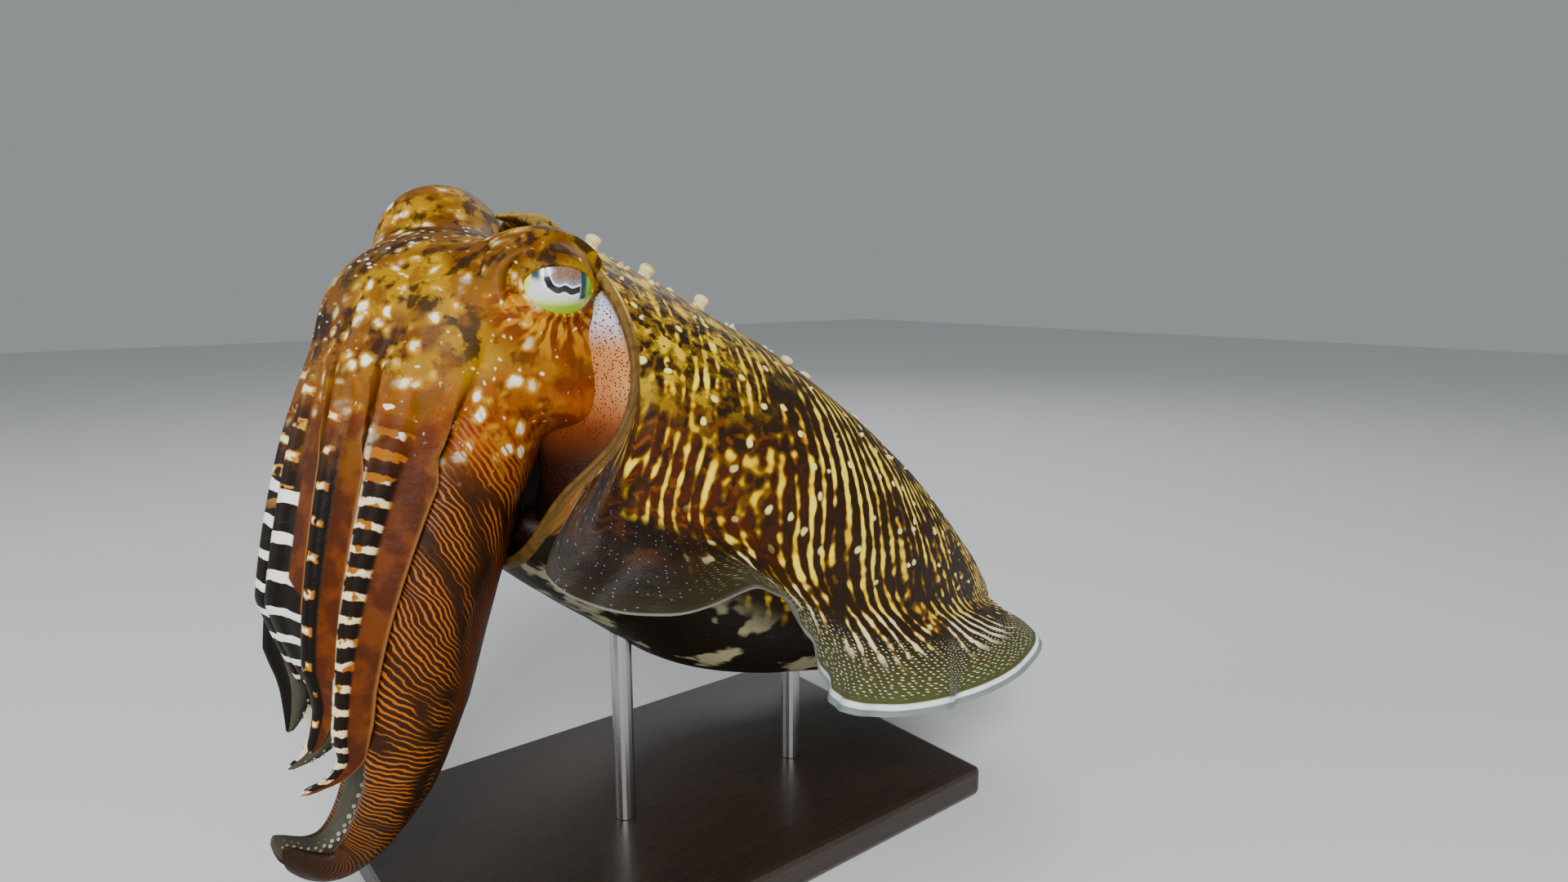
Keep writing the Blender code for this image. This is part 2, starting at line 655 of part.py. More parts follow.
def arm_point(pair, side, t, around):
    """Point of an arm's skin; around is 0 on the outer face and pi on the oral face."""
    end, _, keel, forward = ARM_PLANS[pair]
    outer, depth, middle, half = arm_measures(pair, side, t)
    f = t / end
    squareness = 0.62 + 0.3 * min(f * 1.5, 1.0)
    c = signed_power(math.cos(around), squareness)
    s = signed_power(math.sin(around), squareness)
    thin = 1 - keel * min(f * 4, 1.0) * max(0.0, s) ** 1.5
    radius = outer - depth / 2 * (1 - c) * thin - depth * 0.04 * (1 - thin)
    free = ARM_PLANS[max(pair - 1, 1)][0]
    swing = forward * max(0.0, (t - free) / max(end - free, 0.01)) ** 1.5
    return crown_point(t, radius, middle + side * half * s, swing)


def arm_ring(pair, side, t, shift=0.0):
    """Section of an arm: a rounded sector of the bundle, thinner towards its rear edge."""
    axis = crown_frame(t)[1]
    angles = [2 * math.pi * k / ARM_SIDES for k in range(ARM_SIDES)]
    return [arm_point(pair, side, t, a) + axis * shift for a in angles]


def cup(place, normal, radius, height, sides):
    """Low cup with a dimple: one sucker, its root sunk into the arm."""
    bm = bmesh.new()
    bmesh.ops.create_cone(bm, cap_ends=True, segments=sides, radius1=radius * 0.8, radius2=radius,
                          depth=height * 2)
    top = max(bm.faces, key=lambda f: f.calc_center_median().z)
    bmesh.ops.inset_region(bm, faces=[top], thickness=radius * 0.35, depth=-height * 0.45)
    turn = Vector((0, 0, 1)).rotation_difference(normal).to_matrix()
    bmesh.ops.rotate(bm, cent=(0, 0, 0), matrix=turn, verts=bm.verts)
    bmesh.ops.translate(bm, vec=place, verts=bm.verts)
    bmesh.ops.triangulate(bm, faces=bm.faces)
    return bm


def arm_suckers(pair, side, start, stop, collection):
    """Two rows of cups on an arm's oral face between two fractions of the bundle's length."""
    end = ARM_PLANS[pair][0]
    draw = random.Random(pair * 10 + side)
    made = []
    first, last = SUCKER_SPAN
    for k in range(SUCKERS_PER_ROW):
        f = first + (last - first) * (k / (SUCKERS_PER_ROW - 1)) ** 0.9
        for row in (-1, 1):
            t = (f + row * SUCKER_STAGGER) * end
            outer, depth, _, half = arm_measures(pair, side, t)
            radius = SUCKER_RADIUS * (1.05 - f * 0.8) * draw.uniform(0.9, 1.1)
            radius = min(radius, SUCKER_ROOM * half * max(outer - depth, 0.004))
            margin_t = radius * 1.5 / CROWN_LENGTH
            if not start + margin_t < t < stop - margin_t:
                continue
            place = arm_point(pair, side, t, math.pi + row * SUCKER_ROW_ANGLE)
            inward = crown_point(t, 0.0, 0.0) - place
            axis = crown_frame(t)[1]
            inward = (inward - axis * inward.dot(axis)).normalized()
            bm = cup(place, inward, radius, radius * 0.75, SUCKER_SIDES)
            made.append(mesh_object("sucker", bm, collection))
    return made


def build_arm(pair, side, collection):
    """One arm in its lengths, each with its suckers."""
    end = ARM_PLANS[pair][0]
    word = "left" if side > 0 else "right"
    cuts = [0.0] + [end * share for share in ARM_CUTS[pair]] + [end]
    made = []
    for name, a, b in zip(ARM_NAMES[pair], cuts, cuts[1:]):
        count = max(4, round(ARM_RINGS * (b - a) / end))
        rings = [arm_ring(pair, side, a, GAP)]
        rings += [arm_ring(pair, side, a + (b - a) * k / count) for k in range(1, count + 1)]
        arm = loft(f"arm_{pair}_{word}_{name}", rings, collection)
        suckers = arm_suckers(pair, side, a, b, collection)
        if suckers:
            boolean(arm, suckers, "UNION", "MANIFOLD")
        made.append(arm)
    return made


def paint(thing, colour, roughness, metallic=0.0):
    """Own Principled material in the part's colour."""
    material = bpy.data.materials.new(thing.name)
    material.use_nodes = True
    shader = material.node_tree.nodes["Principled BSDF"]
    shader.inputs["Base Color"].default_value = (*colour, 1.0)
    shader.inputs["Roughness"].default_value = roughness
    shader.inputs["Metallic"].default_value = metallic
    thing.data.materials.clear()
    thing.data.materials.append(material)


def main():
    for old in list(bpy.data.objects):
        bpy.data.objects.remove(old)
    parts = bpy.data.collections.new("cuttlefish")
    cutters = bpy.data.collections.new("cutters")
    bpy.context.scene.collection.children.link(parts)
    bpy.context.scene.collection.children.link(cutters)

    mantle_cutter = loft("mantle_cutter", mantle_rings(GAP), cutters)
    mantle = loft("mantle", mantle_rings(0.0), parts)
    boolean(mantle, mantle_papillae(cutters), "UNION", "MANIFOLD")
    fins = [build_fin(1, FIN_EDGE_LEFT, parts), build_fin(-1, FIN_EDGE_RIGHT, parts)]

    head = build_head(parts)
    eyes = []
    boolean(head, [lid_ring(EYE_LEFT, EYE_RIGHT, cutters), lid_ring(EYE_RIGHT, EYE_LEFT, cutters)],
            "UNION", "MANIFOLD")
    for name, eye, other in (("eye_left", EYE_LEFT, EYE_RIGHT), ("eye_right", EYE_RIGHT, EYE_LEFT)):
        boolean(head, [build_eye(name + "_cutter", eye, other, cutters, GAP)], "DIFFERENCE", "EXACT")
        eyes.append(build_eye(name, eye, other, parts))
    boolean(head, [copy_of(mantle_cutter, cutters)], "DIFFERENCE", "EXACT")

    neck = build_neck(parts)
    boolean(neck, [copy_of(mantle_cutter, cutters)], "DIFFERENCE", "EXACT")
    funnel = build_funnel(parts)
    boolean(funnel, [copy_of(mantle_cutter, cutters), build_neck(cutters, GAP)], "DIFFERENCE", "EXACT")

    arms = [arm for pair in ARM_PLANS for side in (1, -1) for arm in build_arm(pair, side, parts)]
    stand = build_stand(mantle_cutter, parts)
    bpy.data.objects.remove(mantle_cutter)

    for thing in [mantle, neck, funnel, head] + fins + arms:
        thing.data.shade_smooth()
        paint(thing, (0.30, 0.14, 0.04), 0.45)
    for eye in eyes:
        eye.data.shade_smooth()
        paint(eye, (0.75, 0.76, 0.74), 0.08)
    paint(stand[0], (0.05, 0.045, 0.04), 0.5)
    for rod in stand[1:]:
        paint(rod, (0.6, 0.6, 0.6), 0.3, 1.0)


main()
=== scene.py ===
# %% [markdown]
# # A life-size cuttlefish on a display stand
# The frame holds plain solids in metres, +Z up: the animal faces -X and its left side faces -Y.
# This lesson dresses them: one skin for the mantle and its fins, one for the head and the eight
# arms, glossy eyes, the small outgrowths of the skin, and then the finishes, light and camera.

# %% Load the frame
import math
import random
import bmesh
import bpy
import numpy as np
from mathutils import Matrix, Vector, noise


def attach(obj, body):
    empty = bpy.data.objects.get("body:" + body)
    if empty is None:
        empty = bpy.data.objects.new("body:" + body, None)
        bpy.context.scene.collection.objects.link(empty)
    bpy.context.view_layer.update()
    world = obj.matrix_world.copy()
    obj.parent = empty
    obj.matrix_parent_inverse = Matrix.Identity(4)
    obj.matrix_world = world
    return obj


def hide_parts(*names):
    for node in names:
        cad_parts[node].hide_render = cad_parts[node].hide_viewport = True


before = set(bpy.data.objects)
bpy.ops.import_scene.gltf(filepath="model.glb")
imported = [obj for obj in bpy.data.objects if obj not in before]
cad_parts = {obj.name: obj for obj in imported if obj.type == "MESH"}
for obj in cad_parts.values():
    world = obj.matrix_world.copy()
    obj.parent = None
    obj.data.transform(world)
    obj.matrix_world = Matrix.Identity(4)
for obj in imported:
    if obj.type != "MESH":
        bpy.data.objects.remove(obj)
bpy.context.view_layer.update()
from types import SimpleNamespace

# %% [markdown]
# A soft animal has no straight edges, so nearly every measure changes smoothly along the body. A
# few measured values and one smooth curve through them do for widths, angles and depths alike.
# The curve works on whole arrays at once, because the skins have tens of thousands of points.


# %% Smooth curves and small vector helpers
def curve(points, x):
    """Smooth curve through (x, value) pairs, flat beyond its ends, for a number or an array."""
    xs, ys = np.array(points, float).T
    count = np.arange(len(xs))
    low, high = np.maximum(count - 1, 0), np.minimum(count + 1, len(xs) - 1)
    slopes = (ys[high] - ys[low]) / (xs[high] - xs[low])
    x = np.clip(x, xs[0], xs[-1])
    i = np.clip(np.searchsorted(xs, x, side="right") - 1, 0, len(xs) - 2)
    step = xs[i + 1] - xs[i]
    t = (x - xs[i]) / step
    return ((2 * t**3 - 3 * t**2 + 1) * ys[i] + (t**3 - 2 * t**2 + t) * step * slopes[i]
            + (3 * t**2 - 2 * t**3) * ys[i + 1] + (t**3 - t**2) * step * slopes[i + 1])


def ramp(x, start, stop):
    """Rises softly from 0 at start to 1 at stop."""
    t = np.clip((np.asarray(x, float) - start) / (stop - start), 0, 1)
    return t * t * (3 - 2 * t)


def mix(a, b, share):
    share = np.asarray(share, float)
    if np.ndim(a) > np.ndim(share) or np.ndim(b) > np.ndim(share):
        share = share[..., None]
    return a * (1 - share) + b * share


def unit(v):
    return v / np.linalg.norm(v, axis=-1, keepdims=True)


print("half of a smooth rise:", float(ramp(0.5, 0, 1)))

# %% [markdown]
# Both skins are grids of quads that are bent into place: an operator lays the flat grid, each of
# its points is then moved to where it belongs, and welding closes the seam. The grid keeps its
# own coordinates as UV maps, so stripes can later follow the body instead of cutting through it.


# %% Bend a grid into a skin
def sheet(bm, points, maps):
    """Lay a grid over points (rows, columns, 3) and keep each map (rows, columns, 2) as UVs."""
    rows, columns = points.shape[0] - 1, points.shape[1] - 1
    layers = {name: bm.loops.layers.uv.get(name) or bm.loops.layers.uv.new(name) for name in maps}
    made = bmesh.ops.create_grid(bm, x_segments=columns, y_segments=rows, size=1.0)["verts"]
    place = {}
    for vert in made:
        column = round((vert.co.x + 1) / 2 * columns)
        row = round((vert.co.y + 1) / 2 * rows)
        place[vert] = (row, column)
        vert.co = points[row, column]
    for face in {face for vert in made for face in vert.link_faces}:
        for loop in face.loops:
            for name, layer in layers.items():
                loop[layer].uv = maps[name][place[loop.vert]]
    return made


def as_piece(name, bm, replaced=()):
    """Make a bmesh a finished piece that rides on the part's one body."""
    bmesh.ops.recalc_face_normals(bm, faces=bm.faces)
    mesh = bpy.data.meshes.new(name)
    bm.to_mesh(mesh)
    bm.free()
    mesh.shade_smooth()
    piece = bpy.data.objects.new(name, mesh)
    bpy.context.scene.collection.objects.link(piece)
    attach(piece, "root")
    if replaced:
        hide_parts(*replaced)
    mesh.calc_loop_triangles()
    size = [round(v * 1000) for v in piece.dimensions]
    print(f"{name}: {len(mesh.loop_triangles)} triangles, {size} mm")
    return piece


# %% [markdown]
# The mantle is the cuttlefish's body, a flattened sack that is open in front, where the head looks
# out. Its section is a soft oval that swells and shrinks along the axis. The front edge runs
# slanting: far forward on the back, where it ends between the eyes, and far back on the belly.

# %% Measures of the mantle
MANTLE_LENGTH = 0.365
MANTLE_TIP = np.array((-0.066, 0.006, 0.300))
MANTLE_PITCH, MANTLE_YAW, MANTLE_ROLL = (math.radians(a) for a in (37.4, -4.6, -6.0))
HALF_WIDTH = [(0.0, 0.056), (0.17, 0.072), (0.35, 0.081), (0.5, 0.081), (0.7, 0.066),
              (0.85, 0.044), (0.95, 0.022), (1.0, 0.007)]
HALF_DEPTH = [(0.0, 0.060), (0.17, 0.070), (0.35, 0.076), (0.5, 0.076), (0.7, 0.058),
              (0.85, 0.034), (0.95, 0.016), (1.0, 0.005)]
ARCH = [(0.0, 0.0), (0.2, 0.013), (0.4, 0.022), (0.6, 0.022), (0.8, 0.013), (1.0, 0.002)]
MARGIN = [(0, 0.0), (20, 0.016), (50, 0.088), (90, 0.162), (125, 0.160), (155, 0.185), (180, 0.205)]
LIP, WALL = 0.0035, 0.009
RECESS_FLOOR = (0.15, 0.30)
# Power of the sine and cosine of a section: below 1 it is fuller than an ellipse.
FULLNESS = 0.92
# Mean radius of the body, which turns an angle round it into a length on the maps.
GIRTH_RADIUS = 0.078


def mantle_axes():
    """Unit vectors towards the tail, to the animal's left and out of its back."""
    tail = Vector((math.cos(MANTLE_PITCH) * math.cos(MANTLE_YAW),
                   math.cos(MANTLE_PITCH) * math.sin(MANTLE_YAW), -math.sin(MANTLE_PITCH)))
    up = Vector((0, 0, 1))
    back = (up - tail * up.dot(tail)).normalized()
    back = Matrix.Rotation(MANTLE_ROLL, 3, tail) @ back
    return np.array(tail), np.array(tail.cross(back)), np.array(back)


TAIL, LEFT, BACK = mantle_axes()


def oval(angle):
    """Side and rise of the mantle's rounded section."""
    side = np.sign(np.sin(angle)) * np.abs(np.sin(angle)) ** FULLNESS
    rise = np.sign(np.cos(angle)) * np.abs(np.cos(angle)) ** FULLNESS
    return side, rise


def mantle_point(s, angle, grow=0.0):
    """Point of the mantle at station s, at an angle from the dorsal line, positive to the left."""
    s, angle, grow = np.broadcast_arrays(np.asarray(s, float), angle, grow)
    side, rise = oval(angle)
    drop = curve(ARCH, s) - curve(HALF_DEPTH, s) + (curve(HALF_DEPTH, s) + grow) * rise
    return (MANTLE_TIP + TAIL * (MANTLE_LENGTH * s)[..., None] + BACK * drop[..., None]
            + LEFT * ((curve(HALF_WIDTH, s) + grow) * side)[..., None])


def margin(angle):
    """Station of the mantle's front edge at an angle."""
    return curve(MARGIN, np.abs(np.degrees(angle)))


print("mantle is", round(2 * max(v for _, v in HALF_WIDTH) * 1000), "mm wide")

# %% [markdown]
# A fin runs along each side as a thin frill that ripples in waves. It grows out of the body
# without a step, so it is made in the same section loop: the loop leaves the side of the body,
# runs out to the free edge, turns round it and comes back underneath.

# %% Measures of the fins
FIN_ROOT = [(0.15, 119), (0.3, 110), (0.6, 104), (0.85, 97), (1.0, 92)]
FIN_WIDTH = [(0.132, 0.008), (0.15, 0.030), (0.2, 0.042), (0.4, 0.044), (0.52, 0.051), (0.62, 0.056),
             (0.8, 0.056), (0.93, 0.056), (1.0, 0.048)]
FIN_EDGE = {1: [(0.15, -92), (0.22, -90), (0.27, -60), (0.32, -16), (0.38, -22), (0.47, -54),
                (0.56, -84), (0.63, -82), (0.72, -58), (0.79, -70), (0.86, -46), (0.94, -22), (1.0, -4)],
            -1: [(0.15, -80), (0.24, -50), (0.32, -30), (0.42, -66), (0.50, -88), (0.58, -76),
                 (0.68, -40), (0.78, -62), (0.86, -44), (0.94, -14), (1.0, 8)]}
FIN_THICKNESS = (0.0034, 0.0009)
FIN_DROOP = math.radians(-28)
RIPPLE_HEIGHT, RIPPLE_LENGTH = 0.0011, 0.021


def fin_bend(s, side, v):
    """Angle of a fin at share v of its width: from the root's droop to the free edge's own angle."""
    tip = np.radians(curve(FIN_EDGE[side], s))
    return FIN_DROOP + (tip - FIN_DROOP) * np.minimum(1, 1.6 * (v + 0.08))


def fin_middle(s, side, v, steps=24):
    """Middle surface of a fin at station s and share v of its width, and its upward normal."""
    point = mantle_point(s, side * np.radians(curve(FIN_ROOT, s)))
    for k in range(steps):
        bend = fin_bend(s, side, v * (k + 0.5) / steps)
        step = (curve(FIN_WIDTH, s) * v / steps)[..., None]
        point = point + step * (LEFT * side * np.cos(bend)[..., None] + BACK * np.sin(bend)[..., None])
    bend = fin_bend(s, side, v)
    normal = BACK * np.cos(bend)[..., None] - LEFT * side * np.sin(bend)[..., None]
    phase = 2 * math.pi * s * MANTLE_LENGTH / RIPPLE_LENGTH + 3 * side + 2.5 * v
    return point + normal * (RIPPLE_HEIGHT * v**2 * np.sin(phase))[..., None], normal


print("fin grows to", round(max(v for _, v in FIN_WIDTH) * 1000), "mm")

# %% [markdown]
# Each row of the skin is one section. Where its columns belong to the fin they are pulled out of
# the body within the first few rows, and towards the tail the fin closes to a thin rounded end.
# Averaging neighbouring columns where fin and body meet turns the corner there into a soft hollow.


# %% Rows and columns of one side of the skin
BACK_COLUMNS, FIN_COLUMNS, BELLY_COLUMNS = 58, 26, 28
FIN_FIRST, FIN_LAST = BACK_COLUMNS, BACK_COLUMNS + 2 * FIN_COLUMNS
SKIN_ROWS, LIP_ROWS, CAP_ROWS = 230, 12, 5
LAST_STATION = 0.996


def skin_grid():
    """Grids of the share along the rows, the share of the fin's width, its face and the column."""
    # Columns crowd at the fin's free edge and rows at the tail, where the skin turns sharply.
    k = np.arange(FIN_LAST + BELLY_COLUMNS + 1)
    edge = FIN_FIRST + FIN_COLUMNS
    v = np.clip(1 - np.abs(k - edge) / FIN_COLUMNS, 0, 1)
    v = np.sin(v * math.pi / 2) ** 0.92
    under = np.where(k > edge, 1.0, 0.0)
    t = 1 - (1 - np.linspace(0, 1, SKIN_ROWS + 1)) ** 1.12
    return np.broadcast_arrays(t[:, None], v[None], under[None], k[None])


def fin_opening(t):
    """0 in the first row, where the fin's columns still lie on the body, to 1 where it is out."""
    return ramp(t, 0.0, 0.055)


def skin_stations(t, k):
    """Station and angle of each point. Each depends on the other, so both are settled by turns."""
    even = math.pi * k / k.max()
    s = np.full(t.shape, 0.5)
    for _ in range(4):
        root = np.radians(curve(FIN_ROOT, s))
        own = np.where(k <= FIN_FIRST, root * k / FIN_FIRST, root)
        own = np.where(k > FIN_LAST, root + (math.pi - root) * (k - FIN_LAST) / BELLY_COLUMNS, own)
        angle = mix(even, own, fin_opening(t))
        s = margin(angle) + (LAST_STATION - margin(angle)) * t
    return s, angle


print("columns of a side:", skin_grid()[3].shape[1])

# %% [markdown]
# The points come from two shapes at once, the rounded body and the two faces of a thin fin, and
# each column takes the one that it belongs to. The maps that the pattern is laid out by are kept
# beside the points: the way along and round the body, the way out on the fin, and the front edge.


# %% One side of the skin, from the dorsal line to the belly line
def fin_points(s, side, t, v, under):
    """Both faces of a fin, with a lobe that swings forward and a thin, rounded rear end."""
    lobe = -0.045 * v**1.5 * (1 - ramp(t, 0.0, 0.16)) - 0.030 * v**3 * ramp(t, 0.93, 1.0)
    middle, normal = fin_middle(np.clip(s + lobe, 0.05, 1), side, v)
    middle = middle + TAIL * (np.minimum(s + lobe - 0.05, 0) * MANTLE_LENGTH)[..., None]
    thick = mix(FIN_THICKNESS[0], FIN_THICKNESS[1], v) * np.sqrt(1 - v**10)
    thick = thick * (1 - ramp(t, 0.985, 1.0))
    return middle + normal * (thick / 2 * (1 - 2 * under))[..., None]


def soften(points, t, k):
    """Average neighbouring columns near the fin's two roots, less towards the tail."""
    near = np.exp(-((k - FIN_FIRST) / 5.0) ** 2) + np.exp(-((k - FIN_LAST) / 5.0) ** 2)
    for _ in range(30):
        blurred = points.copy()
        blurred[:, 1:-1] = (points[:, :-2] + 2 * points[:, 1:-1] + points[:, 2:]) / 4
        points = mix(points, blurred, near * (1 - ramp(t, 0.97, 1.0)))
    return points


def skin_side(side):
    """Points (rows, columns), the maps for skin, fin and front edge, and the angles of one side."""
    t, v, under, k = skin_grid()
    s, angle = skin_stations(t, k)
    is_fin = (k >= FIN_FIRST) & (k <= FIN_LAST)
    body = mantle_point(s, side * angle)
    fin = fin_points(s, side, t, v, under)
    points = np.where(is_fin[..., None], mix(body, fin, fin_opening(t)), body)
    around = angle * GIRTH_RADIUS + np.where(is_fin, v * curve(FIN_WIDTH, s), 0)
    skin = np.stack([s * MANTLE_LENGTH, side * around], -1)
    fin_map = np.stack([np.where(is_fin, v * fin_opening(t), 0), under * is_fin], -1)
    behind = (s - margin(angle)) * MANTLE_LENGTH * 1000
    return soften(points, t, k), skin, fin_map, np.stack([behind, 0 * behind], -1), angle


left_side = skin_side(1)
print("one side of the skin:", left_side[0].shape[:2], "points")

# %% [markdown]
# The front edge of the mantle is a rolled lip, and behind it the wall goes inwards to the floor of
# the recess that the neck comes out of. These rows are added in front of the skin's first row.
# Behind the last row the small end of the body is rounded off to a point.


# %% Mantle and fins in one skin
def lip_rows(side, angle):
    """Rows from the floor of the recess out to the lip's outer edge."""
    rows, maps = [], []
    mixed = (1 - np.cos(angle)) / 2
    floor = RECESS_FLOOR[0] * (1 - mixed) + RECESS_FLOOR[1] * mixed
    for depth in np.linspace(1, 0, LIP_ROWS - 5):
        wall = LIP + (WALL - LIP) * depth
        rows.append(mantle_point(margin(angle) + (floor - margin(angle)) * depth, side * angle, -wall))
    for turn in np.linspace(0, math.pi, 6)[1:-1]:
        inward = -LIP * (1 + math.cos(turn)) / 2
        ring = mantle_point(margin(angle), side * angle, inward)
        rows.append(ring - TAIL * 0.6 * LIP * math.sin(turn))
    for row in range(len(rows)):
        maps.append(np.stack([margin(angle) * MANTLE_LENGTH - 0.001 * (len(rows) - row),
                              side * angle * GIRTH_RADIUS], -1))
    return np.array(rows), np.array(maps)


def cap_rows(points, fin_map):
    """Rows that round off the body's small end; the fins' closed ends stay where they are."""
    last = points[-1]
    is_body = fin_map[-1][:, 0] < 0.02
    centre = last[is_body].mean(axis=0)
    rows = []
    for k in range(1, CAP_ROWS + 1):
        turn = math.pi / 2 * k / CAP_ROWS
        ring = centre + (last - centre) * math.cos(turn) + TAIL * 0.005 * math.sin(turn)
        rows.append(np.where(is_body[:, None], ring, last))
    return np.array(rows)


def full_side(side):
    """Points and maps of one side with the lip in front and the cap behind."""
    points, skin, fin_map, front, angle = skin_side(side)
    lip, lip_skin = lip_rows(side, angle[0])
    cap = cap_rows(points, fin_map)
    inside = np.zeros(lip_skin.shape)
    inside[:-3, :, 1] = 1.0
    skin = np.concatenate([lip_skin, skin, np.repeat(skin[-1:], len(cap), 0)])
    fins = np.concatenate([0 * lip_skin, fin_map, np.repeat(fin_map[-1:], len(cap), 0)])
    front = np.concatenate([inside, front, np.repeat(front[-1:], len(cap), 0)])
    return np.concatenate([lip, points, cap]), skin, fins, front


def both_sides():
    """Left side from the back to the belly, then the right side from the belly to the back."""
    joined = []
    for left, right in zip(full_side(1), full_side(-1)):
        joined.append(np.concatenate([left, right[:, -2::-1]], axis=1))
    return joined


def ruffle(points, skin, fin_map):
    """Unevenness of living skin: swellings about 26 mm apart, up to 0.8 mm high, not on the fins."""
    for row in range(LIP_ROWS, len(points) - CAP_ROWS):
        for column in range(points.shape[1] - 1):
            x, y = skin[row, column]
            if fin_map[row, column, 0] < 0.4:
                # The third number gives the two sides their own swellings, alike on the back line.
                layer = math.copysign(3.0, y) * min(abs(y) * 60, 1)
                swelling = noise.noise(Vector((x * 38, abs(y) * 38, layer)))
                points[row, column] += BACK * swelling * 0.0008
        points[row, -1] = points[row, 0]


def build_mantle():
    points, skin, fin_map, front = both_sides()
    ruffle(points, skin, fin_map)
    bm = bmesh.new()
    sheet(bm, points, {"skin": skin, "fin": fin_map, "front": front})
    bmesh.ops.remove_doubles(bm, verts=bm.verts, dist=2e-6)
    open_edges = [e for e in bm.edges if e.is_boundary]
    bmesh.ops.holes_fill(bm, edges=open_edges, sides=0)
    bmesh.ops.triangulate(bm, faces=[f for f in bm.faces if len(f.verts) > 4])
    return as_piece("mantle_and_fins", bm, ("mantle", "fin_left", "fin_right"))


mantle = build_mantle()

# %% [markdown]
# The head is rounder than a tube and wider than the neck, with a swollen cheek under each eye. It
# has no simple section, so its surface comes from a soft blend of ellipsoids: one for the skull,
# one behind each eye, two for the cheeks and one for the root of the arms. A ray from the middle
# of the head finds the skin where it last leaves the blend.

# %% Measures of the head and the eyes
EYES = {1: np.array((-0.073, -0.049, 0.270)), -1: np.array((-0.080, 0.068, 0.290))}
HEAD_CENTRE = np.array((-0.094, 0.008, 0.246))
HEAD_BLEND = 0.016
EYE_RADIUS, EYE_SUNK = 0.0172, 0.0112
CROWN_START = np.array((-0.104, 0.007, 0.226))


def eye_axis(side):
    """Direction in which an eye looks: sideways, a little forward."""
    return unit(unit(EYES[side] - EYES[-side]) + np.array((-0.12, 0, 0)))


def head_axes():
    """Front, side and up of the head, which is rolled so that the left eye is the lower one."""
    side = unit(EYES[1] - EYES[-1])
    up = unit(np.array((0, 0, 1)) - side * side[2])
    return unit(np.cross(side, up)), side, up


def head_blobs():
    """Centres and radii (front, side, up) of the ellipsoids."""
    middle = (EYES[1] + EYES[-1]) / 2
    return [
        (HEAD_CENTRE + (0.000, 0.005, 0.003), (0.041, 0.050, 0.040)),
        (middle + (-0.008, 0, -0.016), (0.030, 0.056, 0.024)),
        (EYES[1] - eye_axis(1) * 0.020 + (0, 0, -0.001), (0.0255, 0.0225, 0.0220)),
        (EYES[-1] - eye_axis(-1) * 0.020 + (-0.006, 0, 0.001), (0.0280, 0.0250, 0.0270)),
        (HEAD_CENTRE + (0.029, -0.028, -0.028), (0.032, 0.027, 0.038)),
        (HEAD_CENTRE + (0.016, 0.038, -0.012), (0.030, 0.024, 0.032)),
        (HEAD_CENTRE + (-0.012, 0.002, 0.010), (0.036, 0.040, 0.028)),
        (CROWN_START, (0.049, 0.052, 0.036)),
        (HEAD_CENTRE + TAIL * 0.030 - BACK * 0.004, (0.034, 0.048, 0.036)),
    ]


def head_field(points):
    """Rough signed distance of points (n, 3) to the blend."""
    axes = np.array(head_axes()).T
    total = None
    for centre, radii in head_blobs():
        local = (points - centre) @ axes / radii
        size = np.linalg.norm(local, axis=1)
        value = size * (size - 1) / np.maximum(np.linalg.norm(local / radii, axis=1), 1e-9)
        if total is None:
            total = value
            continue
        h = np.clip(0.5 + 0.5 * (total - value) / HEAD_BLEND, 0, 1)
        total = total * (1 - h) + value * h - HEAD_BLEND * h * (1 - h)
    return total


def head_point(directions):
    """Where rays from the head's centre leave its skin for the last time."""
    flat = directions.reshape(-1, 3)
    reach = np.linspace(0.030, 0.115, 90)
    result = np.full(len(flat), reach[0])
    last = head_field(HEAD_CENTRE + flat * reach[0])
    for a, b in zip(reach, reach[1:]):
        value = head_field(HEAD_CENTRE + flat * b)
        leaving = (last <= 0) & (value > 0)
        result[leaving] = a + (b - a) * -last[leaving] / (value[leaving] - last[leaving])
        last = value
    return (HEAD_CENTRE + flat * result[:, None]).reshape(directions.shape)


print("eyes are", round(float(np.linalg.norm(EYES[1] - EYES[-1])) * 1000), "mm apart")

# %% [markdown]
# Eight arms hang from the head round the mouth in a drooping bundle. Each arm takes a sector of
# the bundle, so its place is given by how far down the bundle it is and by the angle round the
# bundle's curved axis. The bundle is twisted a little, as if the arms were swung to one side.

# %% Measures of the bundle of arms
CROWN_AXIS = [tuple(CROWN_START), (-.119, .003, .192), (-.134, -.004, .150), (-.143, -.009, .110),
              (-.149, -.013, .080), (-.163, -.016, .058), (-.181, -.018, .067)]
CROWN_RADIUS = [(0.0, 0.049), (0.2, 0.047), (0.4, 0.042), (0.55, 0.036), (0.7, 0.026), (0.85, 0.014),
                (1.0, 0.006)]
CROWN_LENGTH, CROWN_SIDE_SCALE, CROWN_HOLLOW = 0.20, 1.08, 0.005
CROWN_SIDEWAYS = np.array((0.0, -1.0, -0.06))
# Angles of the arms' borders round the bundle, at the root and further down, per side.
BORDERS_ROOT = {1: (-8, 17, 41, 81, 183), -1: (-8, -42, -74, -108, -177)}
BORDERS_LOW = {1: (3, 35, 51, 68, 188), -1: (3, -24, -58, -94, -172)}
TWIST_END = 0.45
# Per pair: where it ends along the bundle, its depth at the root, how thin its rear edge is and
# how far forward its tip swings.
ARM_PLANS = {1: (0.47, 0.028, 0.15, -0.002), 2: (0.57, 0.028, 0.20, 0.008),
             3: (0.69, 0.029, 0.35, 0.018), 4: (1.00, 0.030, 0.55, 0.000)}
ARM_WIDTH, ARM_GAP = (0.040, 0.046), 0.0006
WEB = 0.12


